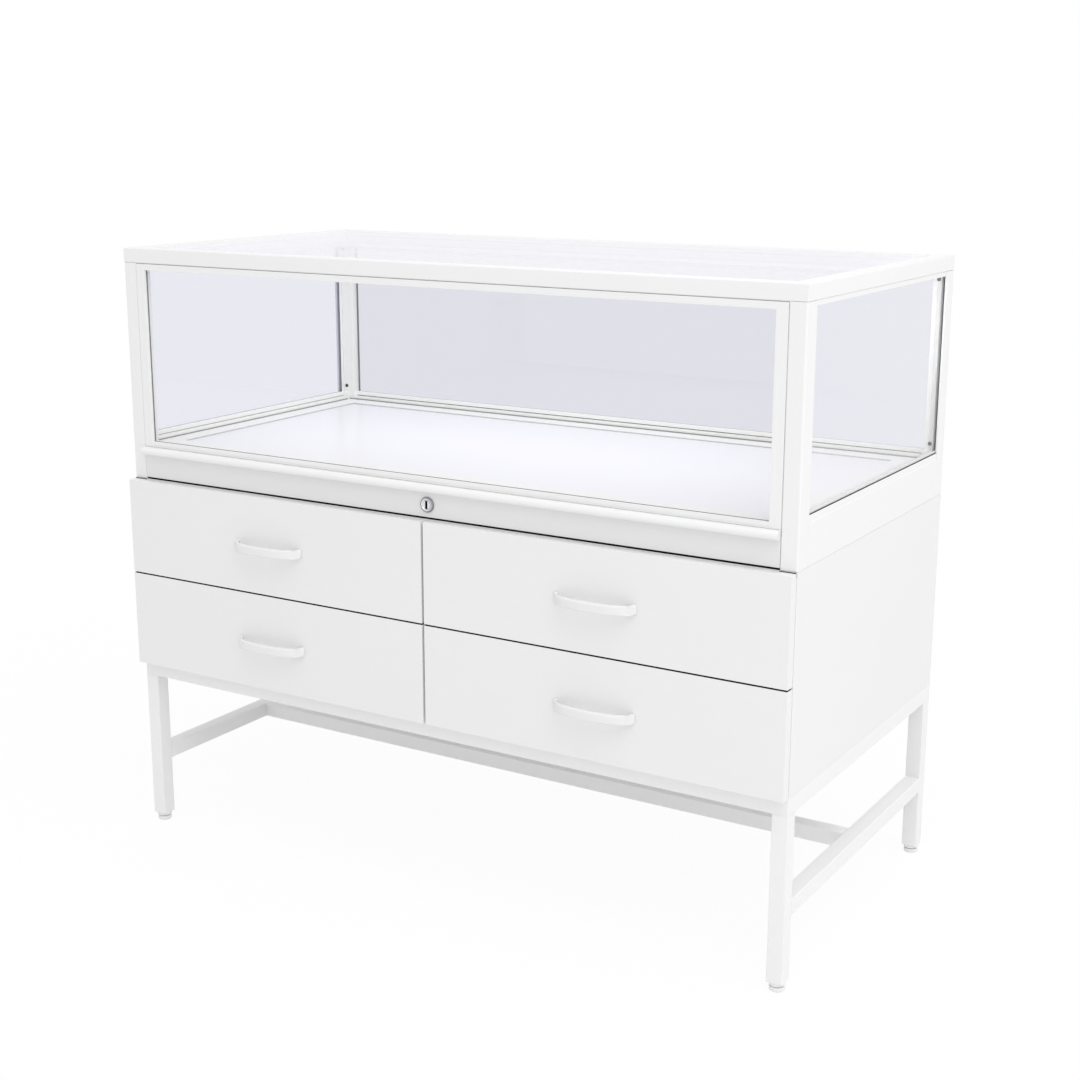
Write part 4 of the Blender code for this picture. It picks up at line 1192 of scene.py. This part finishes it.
@dataclass
class Vitrine(Assembly):
    """The glazed upper part: posts, rails, top frame, panes, beads, gaskets and screws."""

    edge: float = 0.0005
    frame_edge: float = 0.0008
    fine_edge: float = 0.0004
    post_rebate: float = 0.009
    rebate_margin: float = 0.0005
    frame_inner: float = 0.0355
    frame_margin: float = 0.001
    rail_step: float = 0.007
    rail_bead: float = 0.0085
    inner_bead: float = 0.004
    outer_bead: float = 0.0032
    bead_height: float = 0.0076
    bead_clearance: float = 0.0003
    bead_round: float = 0.0008
    outer_bead_round: float = 0.0006
    shadow_gap: float = 0.0017
    shadow_depth: float = 0.0003
    gasket: float = 0.0004
    gasket_depth: float = 0.0008
    gasket_width: float = 0.0040
    foot_gasket: float = 0.0029
    foot_bead: float = 0.0040
    tape: float = 0.0006
    tape_setback: float = 0.0014
    cover_width: float = 0.009
    cover_gap: float = 0.0003
    brush_setback: float = 0.0007
    brush_depth: float = 0.008
    top_brush_setback: float = 0.0015
    brush_overlap: float = 0.0005
    screw_reach: float = 0.5840
    screw_levels: tuple[float, float] = (0.7025, 0.9630)
    screw: Screw = Screw(0.0032, 0.0017, 0.0008)

    @property
    def ceiling(self) -> float:
        """Return the height of the underside of the top frame."""
        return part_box("top_frame")[0].z

    def build(self) -> None:
        """Dress the frame and the panes, and add the glazing trim."""
        self._posts_and_rails()
        self._top_frame()
        self.bench.eased("glass_top", TOP_GLASS, self.edge)
        for pane, glass in zip(self._panes(), (LEFT_GLASS, RIGHT_GLASS, REAR_GLASS)):
            self.bench.eased(f"glass_{pane.name}", glass, self.fine_edge)
            self._foot(pane)
            self._top_bead(pane)
            if pane.name == "rear":
                self._rear_gaskets(pane)
            else:
                self._side_gaskets(pane)
        self._brush_seals()
        self._post_screws()

    def _panes(self) -> list[Pane]:
        """List the left, right and rear panes.

        Returns:
            The panes, each with its span from post to post.
        """
        panes = []
        for side, sign in SIDES.items():
            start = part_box(f"post_front_{side}")[1].y
            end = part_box(f"post_rear_{side}")[0].y
            panes.append(Pane(side, Axis.X, sign, (start, end)))
        span = (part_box("post_rear_left")[1].x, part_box("post_rear_right")[0].x)
        return [*panes, Pane("rear", Axis.Y, 1.0, span)]

    def _posts_and_rails(self) -> None:
        """Dress the posts and the bottom rails, with a lighter, warmer coat on what faces inwards,
        as painted light inside the case.
        """
        inside_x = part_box("glass_right")[0].x
        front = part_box("post_front_left")[1].y - self.post_rebate - self.rebate_margin
        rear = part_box("glass_rear")[0].y
        edges = {f"post_{corner}": self.edge for corner in CORNERS}
        edges |= {f"bottom_rail_{side}": self.fine_edge for side in (*SIDES, "rear")}
        for node, edge in edges.items():
            piece = self.bench.eased(node, FRAME_COAT, edge)
            self.bench.accent(
                piece, MOULDING_INNER_LIGHT, lambda at: abs(at.x) < inside_x and front < at.y < rear
            )

    def _top_frame(self) -> None:
        """Dress the top frame, with painted shade, a darker bluish coat, on its inner faces under
        the glass.
        """
        low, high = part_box("top_frame")
        bottom = low.z + self.frame_margin
        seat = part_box("glass_top")[0].z - self.frame_margin
        self.bench.accent(
            self.bench.eased("top_frame", FRAME_COAT, self.frame_edge),
            FRAME_REBATE_SHADE,
            lambda at: inset(at, low, high) > self.frame_inner and bottom < at.z < seat,
        )

    def _foot(self, pane: Pane) -> None:
        """Add the gasket, the bead and the shadow line at the foot of a pane; the gasket's dark
        coat and the grey shadow line are painted shade.

        Args:
            pane: The pane.
        """
        inner, outer = pane.faces
        rail = f"bottom_rail_{pane.name}"
        step = pane.lip - self.rail_step
        bead_face = inner - self.inner_bead * pane.sign
        gasket = pane.bar(
            f"foot_gasket_{pane.name}", outer, self.foot_gasket, pane.span,
            (pane.lip - SKIN, pane.lip + self.gasket), HAIR,
        )
        bead = pane.bar(
            f"rail_bead_{pane.name}", inner, -self.inner_bead, pane.span,
            (step, step + self.rail_bead), self.bead_round,
        )
        shadow = pane.bar(
            f"shadow_gap_{pane.name}", bead_face, -self.shadow_depth, pane.span,
            (step, step + self.shadow_gap), HAIR,
        )
        # black foot gasket on the right pane and grey on the others: painted shade, darkest where
        # the slot is seen from outside
        dark = RUBBER_SLOT_SHADE if pane.name == "right" else RIM_STEP_SHADE
        self.bench.trim(gasket, f"glass_{pane.name}", dark)
        self.bench.trim(bead, rail, MOULDING_INNER_LIGHT)
        self.bench.trim(shadow, rail, WIPER_GAP_SHADE)

    def _top_bead(self, pane: Pane) -> None:
        """Add the beads that hold the top of a pane, with a painted highlight on the inner one.

        Args:
            pane: The pane.
        """
        inner, outer = pane.faces
        start, end = pane.span
        name = "rear_bead"
        into = clear = 0.0
        if pane.name in SIDES:
            name = f"top_bead_{pane.name}"
            into = self.post_rebate - SKIN
            clear = self.bead_clearance
        levels = (self.ceiling - self.bead_height, self.ceiling - SKIN)
        beads = [
            pane.bar(
                "bead", outer, self.outer_bead, (start + clear, end - clear), levels,
                self.outer_bead_round,
            ),
            pane.bar(
                "bead", inner, -self.inner_bead, (start - into, end + into), levels,
                self.bead_round,
            ),
        ]
        piece = self.bench.trim(join(name, beads), "top_frame", FRAME_COAT)
        axis = pane.normal.value
        self.bench.accent(piece, TOP_BEAD_HIGHLIGHT, lambda at: (inner - at[axis]) * pane.sign > 0.0)

    def _side_gaskets(self, pane: Pane) -> None:
        """Add the gaskets and the white tapes where a side pane meets its posts.

        Args:
            pane: The pane.
        """
        inner, outer = pane.faces
        start, end = pane.span
        node = f"glass_{pane.name}"
        thin = self.gasket
        back = self.tape_setback
        reach = self.post_rebate - SKIN
        full = (pane.lip, self.ceiling)
        gaskets = [
            pane.bar("gasket", outer, self.gasket_depth, along, full, THIN)
            for along in ((end - thin, end + SKIN), (start - SKIN, start + thin))
        ]
        under_bead = (pane.lip, self.ceiling - self.bead_height)
        tapes = [
            pane.bar("tape", inner, -self.tape, along, under_bead, THIN)
            for along in ((end + back, end + reach), (start - reach, start - back))
        ]
        # black gaskets on the right pane and pale ones on the left: painted shade, darkest where
        # the slot is seen from outside
        dark = RUBBER_SLOT_SHADE if pane.name == "right" else BRUSH
        self.bench.trim(join(f"side_gasket_{pane.name}", gaskets), node, dark)
        self.bench.trim(join(f"glazing_tape_{pane.name}", tapes), node, CUSHION)
        if pane.name == "right":
            heights = (pane.lip + thin, pane.lip + self.foot_bead)
            bead = pane.bar("foot_bead_right", outer, thin, pane.span, heights, HAIR)
            self.bench.trim(bead, node, CUSHION)

    def _rear_gaskets(self, pane: Pane) -> None:
        """Add the upright gaskets of the rear pane, and the cover strip on the left post.

        Args:
            pane: The rear pane.
        """
        inner, _ = pane.faces
        left, right = pane.span
        step = pane.lip - self.rail_step
        top = self.ceiling - self.bead_height
        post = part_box("post_rear_left")[0].y + self.post_rebate
        cover = strip(
            "post_cover",
            (left - SKIN, post + self.cover_gap, step - SKIN),
            (left + self.cover_width, inner + SKIN, top + SKIN),
            self.outer_bead_round,
        )
        self.bench.trim(cover, "post_rear_left", MOULDING_INNER_LIGHT)
        left += self.cover_width
        width = self.gasket_width
        heights = (step + self.rail_bead - SKIN, top)
        gaskets = [
            pane.bar("gasket", inner, -self.gasket, along, heights, THIN)
            for along in ((left - SKIN, left + width), (right - width, right + SKIN))
        ]
        self.bench.trim(join("rear_gasket", gaskets), "glass_rear", GASKET_CORNER_SHADE)

    def _brush_seals(self) -> None:
        """Close the gaps round the tray's front with pale brush strips, set back from it."""
        low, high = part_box("tray_front_frame")
        near = low.y + self.brush_setback
        far = low.y + self.brush_depth
        overlap = self.brush_overlap
        shapes = [
            strip(
                "brush",
                (low.x, low.y + self.top_brush_setback, high.z + overlap),
                (high.x, far, self.ceiling + SKIN),
                HAIR,
            )
        ]
        for side, sign in SIDES.items():
            post_low, post_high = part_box(f"post_front_{side}")
            face, edge = (post_low.x, high.x) if sign > 0 else (post_high.x, low.x)
            xs = sorted((face + sign * SKIN, edge + sign * overlap))
            shapes.append(
                strip("brush", (xs[0], near, post_low.z), (xs[1], far, self.ceiling), HAIR)
            )
        self.bench.trim(join("front_brush_seals", shapes), "post_front_left", BRUSH)

    def _post_screws(self) -> None:
        """Set two black screws in the inner face of each post."""
        for end, facing in ENDS.items():
            head = self.screw.build("post_screw", ORIGIN, Axis.Y, -facing)
            for side, sign in SIDES.items():
                node = f"post_{end}_{side}"
                low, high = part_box(node)
                flange = low.y if end == "rear" else high.y
                face = flange + facing * self.post_rebate
                places = [(sign * self.screw_reach, face, level) for level in self.screw_levels]
                heads = [copy_to(head, "post_screw_copy", place) for place in places]
                self.bench.trim(join(f"post_screws_{end}_{side}", heads), node, BLACK_SCREW)
            bpy.data.objects.remove(head, do_unlink=True)


@dataclass
class DisplayTray(Assembly):
    """The pull-out tray: glazed front, lock rail with its ledge, deck and side members."""

    edge: float = 0.0005
    fine_edge: float = 0.0004
    stile: float = 0.0175
    top_bar: float = 0.010
    bottom_bar: float = 0.009
    ledge: float = 0.013
    bead_width: float = 0.0055
    bead_proud: float = 0.0006
    bead_sink: float = 0.0002
    bead_round: float = 0.00035
    gasket_depth: float = 0.002
    gasket_width: float = 0.0010
    foot_gasket: float = 0.0005
    rim_width: float = 0.036
    rim_proud: float = 0.0020
    rim_inset: float = 0.0004
    rim_sink: float = 0.0002
    wiper_drop: float = 0.001
    wiper_rise: float = 0.0034
    wiper: float = 0.0016
    rear_wiper: float = 0.0022

    def build(self) -> None:
        """Dress the tray and add its glazing trim, rim and wipers, the wipers coloured as painted
        gap shade.
        """
        self.bench.eased("tray_front_frame", FRAME_COAT, self.edge)
        self.bench.eased("tray_front_glass", FRONT_GLASS, self.fine_edge)
        # the rail below the ledge takes the darker coat, painted shade under the ledge; the ledge
        # keeps the frame coat
        rail = self.bench.eased("tray_lock_rail", LOCK_RAIL_SHADE, self.fine_edge)
        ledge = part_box("tray_lock_rail")[1].z - self.ledge - SKIN
        self.bench.accent(rail, FRAME_COAT, lambda at: at.z > ledge)
        self.bench.eased("tray_deck", DECK, self.fine_edge)
        for side in SIDES:
            self.bench.eased(f"tray_side_{side}", FRAME_COAT, self.fine_edge)
            self.bench.eased(f"tray_channel_{side}", ZINC, SOFT)
        self._front_glazing()
        self._rim()
        self._wipers()

    def _front_glazing(self) -> None:
        """Add the bead round the front glass and the gaskets in its corners."""
        low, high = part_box("tray_front_frame")
        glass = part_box("tray_front_glass")[0].y
        left, right = low.x + self.stile, high.x - self.stile
        foot, top = low.z + self.bottom_bar, high.z - self.top_bar
        width = self.bead_width
        bead = Workpiece.block(
            "front_bead",
            (left - width, low.y - self.bead_proud, foot - width),
            (right + width, low.y + self.bead_sink, top + width),
        )
        bead.pierce(Axis.Y, width).ease_all(self.bead_round)
        self.bench.trim(bead.finish(), "tray_front_frame", FRAME_COAT)
        near, far = glass - self.gasket_depth, glass + SKIN
        line = self.gasket_width
        gaskets = [
            strip("gasket", (left - SKIN, near, foot), (left + line, far, top), SOFT),
            strip("gasket", (right - line, near, foot), (right + SKIN, far, top), SOFT),
            strip("gasket", (left, near, foot - SKIN), (right, far, foot + self.foot_gasket), THIN),
        ]
        self.bench.trim(join("front_gasket", gaskets), "tray_front_glass", GASKET_CORNER_SHADE)

    def _rim(self) -> None:
        """Add the low cream rim round the deck, with painted shade, a grey coat, on its inner step.
        """
        low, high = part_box("tray_deck")
        margin = self.rim_inset
        block = Workpiece.block(
            "deck_rim",
            (low.x + margin, low.y + margin, high.z - self.rim_sink),
            (high.x - margin, high.y - margin, high.z + self.rim_proud),
        )
        rim = block.pierce(Axis.Z, self.rim_width).ease_all(SOFT).finish()
        self.bench.trim(rim, "tray_deck", DECK_RIM)
        step = self.rim_width - THIN
        self.bench.accent(rim, RIM_STEP_SHADE, lambda at: inset(at, low, high) > step)

    def _wipers(self) -> None:
        """Add the dark wiper strips on the rails, just above the deck, which paint the shade of the
        gap between the rails and the deck.
        """
        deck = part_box("tray_deck")[1].z
        bottom, top = deck - self.wiper_drop, deck + self.wiper_rise
        shapes = []
        for side, sign in SIDES.items():
            low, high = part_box(f"bottom_rail_{side}")
            face = low.x if sign > 0 else high.x
            xs = sorted((face + sign * SKIN, face - sign * self.wiper))
            shapes.append(strip("wiper", (xs[0], low.y, bottom), (xs[1], high.y, top), SOFT))
        low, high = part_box("bottom_rail_rear")
        near = (low.x, low.y - self.rear_wiper, bottom)
        shapes.append(strip("wiper", near, (high.x, low.y + SKIN, top), SOFT))
        self.bench.trim(join("deck_wipers", shapes), "bottom_rail_rear", WIPER_GAP_SHADE)


@dataclass
class CamLock(Assembly):
    """The cam lock: bezel, plug with its keyway, and the strike."""

    sides: int = 64
    bore: float = 0.0075
    barrel: float = 0.0095
    bezel_depth: float = 0.0030
    bezel_profile: tuple[tuple[float, float], ...] = (
        (0.0080, 0.0), (0.0095, 0.0), (0.0098, 0.0), (0.0109, 0.0003), (0.0117, 0.0010),
        (0.0120, 0.0018), (0.0120, 0.0030),
    )
    bore_chamfer: float = 0.0005
    bright: float = 0.0096
    plug_edge: float = 0.0001
    keyway_shade_half: tuple[float, float] = (0.00208, 0.00628)
    keyway_shade_depth: tuple[float, float] = (0.0006, 0.0031)

    def build(self) -> None:
        """Turn the bezel, dress the plug and the strike, and close the keyway with a plate of
        painted shade.
        """
        low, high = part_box("lock_body")
        centre = ((low.x + high.x) / 2, low.y, (low.z + high.z) / 2)
        length = high.y - low.y
        profile = [
            (self.bore, self.bore_chamfer), *self.bezel_profile,
            (self.barrel, self.bezel_depth), (self.barrel, length), (self.bore, length),
        ]
        bezel = Workpiece.turned("lock_bezel", profile, centre, Axis.Y, self.sides, hollow=True)
        # the bezel's outer ring is dark steel and its middle chrome: painted dark reflection
        body = self.bench.stand_in(bezel.finish(TURNED_SHARP), STEEL_DARK_REFLECTION, "lock_body")
        self.bench.accent(
            body,
            CHROME,
            lambda at: math.hypot(at.x - centre[0], at.z - centre[2]) < self.bright,
        )
        self.bench.eased("lock_plug", CHROME, self.plug_edge)
        self.bench.eased("lock_strike", ZINC, SOFT)
        self._shutter(*centre)

    def _shutter(self, across: float, face: float, level: float) -> None:
        """Put the near-black plate at the bottom of the key slot, as painted shade in the keyway.

        Args:
            across: The middle of the lock, across the case.
            face: The lock's front face.
            level: The height of the lock's middle.
        """
        wide, tall = self.keyway_shade_half
        near, far = (face + depth for depth in self.keyway_shade_depth)
        keyway_shade = strip(
            "lock_shutter",
            (across - wide, near, level - tall),
            (across + wide, far, level + tall),
            THIN,
        )
        self.bench.trim(keyway_shade, "lock_plug", KEYWAY_SHADE)


@dataclass(frozen=True)
class Lamp:
    """A soft rectangular lamp that the camera doesn't see."""

    name: str
    power: float
    size: tuple[float, float]
    place: Point
    target: Point
    spread: float = math.pi
    glossy: bool = True

    def hang(self) -> None:
        """Add the lamp to the scene, facing its target."""
        lamp = bpy.data.lights.new(self.name, "AREA")
        lamp.energy = self.power
        lamp.shape = "RECTANGLE"
        lamp.size, lamp.size_y = self.size
        lamp.spread = self.spread
        holder = bpy.data.objects.new(self.name, lamp)
        holder.location = self.place
        aim = Vector(self.target) - Vector(self.place)
        holder.rotation_euler = aim.to_track_quat("-Z", "Y").to_euler()
        holder.visible_camera = False
        holder.visible_glossy = self.glossy
        bpy.context.scene.collection.objects.link(holder)


KEY_LAMP = Lamp("key_lamp", 122.0, (4.5, 4.5), (2.60, -1.65, 5.00), (0.0, 0.0, 0.55))
LOW_LAMP = Lamp("low_lamp", 2.0, (1.2, 1.2), (2.60, -1.60, 0.45), (0.0, 0.0, 0.15))
CASE_LAMP = Lamp(  # under the top glass, to lift the light on the deck
    "case_lamp", 0.48, (0.96, 0.44), (-0.06, 0.02, 0.970), (-0.06, 0.02, 0.0), glossy=False,
)
POST_LAMP = Lamp(  # inside the case, to light the rear right post
    "post_lamp", 0.042, (0.06, 0.19), (0.30, -0.10, 0.905), (0.583, 0.290, 0.915), 0.60, False,
)


@dataclass
class Studio:
    """The pale floor, the soft light and the camera."""

    white: Colour = (1.0, 1.0, 1.0)
    floor_size: float = 24.0
    floor_colour: Colour = (0.94, 0.94, 0.94)
    near_share: float = 0.93
    fade_start: float = 0.9
    fade_length: float = 1.6
    sky_strength: float = 0.82
    lens: float = 56.73
    camera_place: Point = (1.4468, -2.31425, 1.1989)
    camera_yaw: float = 0.5481
    camera_pitch: float = 0.2405
    camera_roll: float = 0.0017

    def build(self) -> None:
        """Set up the whole studio."""
        self._floor()
        self._sky()
        for lamp in (KEY_LAMP, LOW_LAMP, CASE_LAMP, POST_LAMP):
            lamp.hang()
        self._camera()
        bpy.context.scene.view_settings.view_transform = "Standard"

    def _seen(self, shader: Shader) -> Signal:
        """Tell the rays that show the background from those that light the object.

        Args:
            shader: The builder of the node tree.

        Returns:
            1 for camera, glossy and transmission rays, and 0 for others.
        """
        camera = shader.node("ShaderNodeLightPath", output="Is Camera Ray")
        glossy = shader.node("ShaderNodeLightPath", output="Is Glossy Ray")
        clear = shader.node("ShaderNodeLightPath", output="Is Transmission Ray")
        return camera.at_least(glossy).at_least(clear)

    def _floor(self) -> None:
        """Lay the white floor, which keeps a soft shadow near the case."""
        clear_selection()
        bpy.ops.mesh.primitive_plane_add(size=self.floor_size, location=ORIGIN)
        floor = bpy.context.object
        floor.name = "studio_floor"
        material, shader = new_material("studio_floor_white")
        length = {"operation": "LENGTH"}
        distance = shader.node("ShaderNodeVectorMath", length, {0: shader.place()}, "Value")
        fade = ((distance - self.fade_start) / self.fade_length).at_least(0.0).at_most(1.0)
        share = self.near_share + (1.0 - self.near_share) * fade
        matt = shader.node("ShaderNodeBsdfDiffuse", inputs={"Color": opaque(self.floor_colour)})
        glow = {"Color": opaque(self.white), "Strength": 1.0}
        shown = shader.node("ShaderNodeEmission", inputs=glow)
        shader.surface(shader.mixed(self._seen(shader) * share, matt, shown))
        floor.data.materials.append(material)

    def _sky(self) -> None:
        """Surround the case with even white light."""
        world = bpy.data.worlds.new("studio")
        world.use_nodes = True
        shader = Shader(world.node_tree)
        light, shown = (
            shader.node(
                "ShaderNodeBackground", inputs={"Color": opaque(self.white), "Strength": strength}
            )
            for strength in (self.sky_strength, 1.0)
        )
        sky = shader.mixed(self._seen(shader), light, shown)
        shader.node("ShaderNodeOutputWorld", inputs={"Surface": sky})
        bpy.context.scene.world = world

    def _camera(self) -> None:
        """Set the camera at the photograph's viewing angle."""
        data = bpy.data.cameras.new("camera")
        data.lens = self.lens
        camera = bpy.data.objects.new("camera", data)
        turn = Matrix.Rotation(self.camera_yaw, 4, "Z")
        tilt = Matrix.Rotation(math.pi / 2 - self.camera_pitch, 4, "X")
        roll = Matrix.Rotation(self.camera_roll, 4, "Z")
        place = Matrix.Translation(Vector(self.camera_place))
        camera.matrix_world = place @ turn @ tilt @ roll
        bpy.context.scene.collection.objects.link(camera)
        bpy.context.scene.camera = camera


def main() -> None:
    """Load the frame, dress each sub-assembly and set up the studio."""
    logging.basicConfig(level=logging.INFO, format="%(name)s: %(message)s")
    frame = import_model()
    bench = Bench(frame)
    SteelBase(bench).build()
    Cabinet(bench).build()
    first = None
    for row in ROWS:
        for side in SIDES:
            drawer = Drawer(bench, row, side, first)
            drawer.build()
            first = first or drawer
    Vitrine(bench).build()
    DisplayTray(bench).build()
    CamLock(bench).build()
    clear_selection()
    Studio().build()
    clear_selection()


if __name__ == "__main__":
    main()
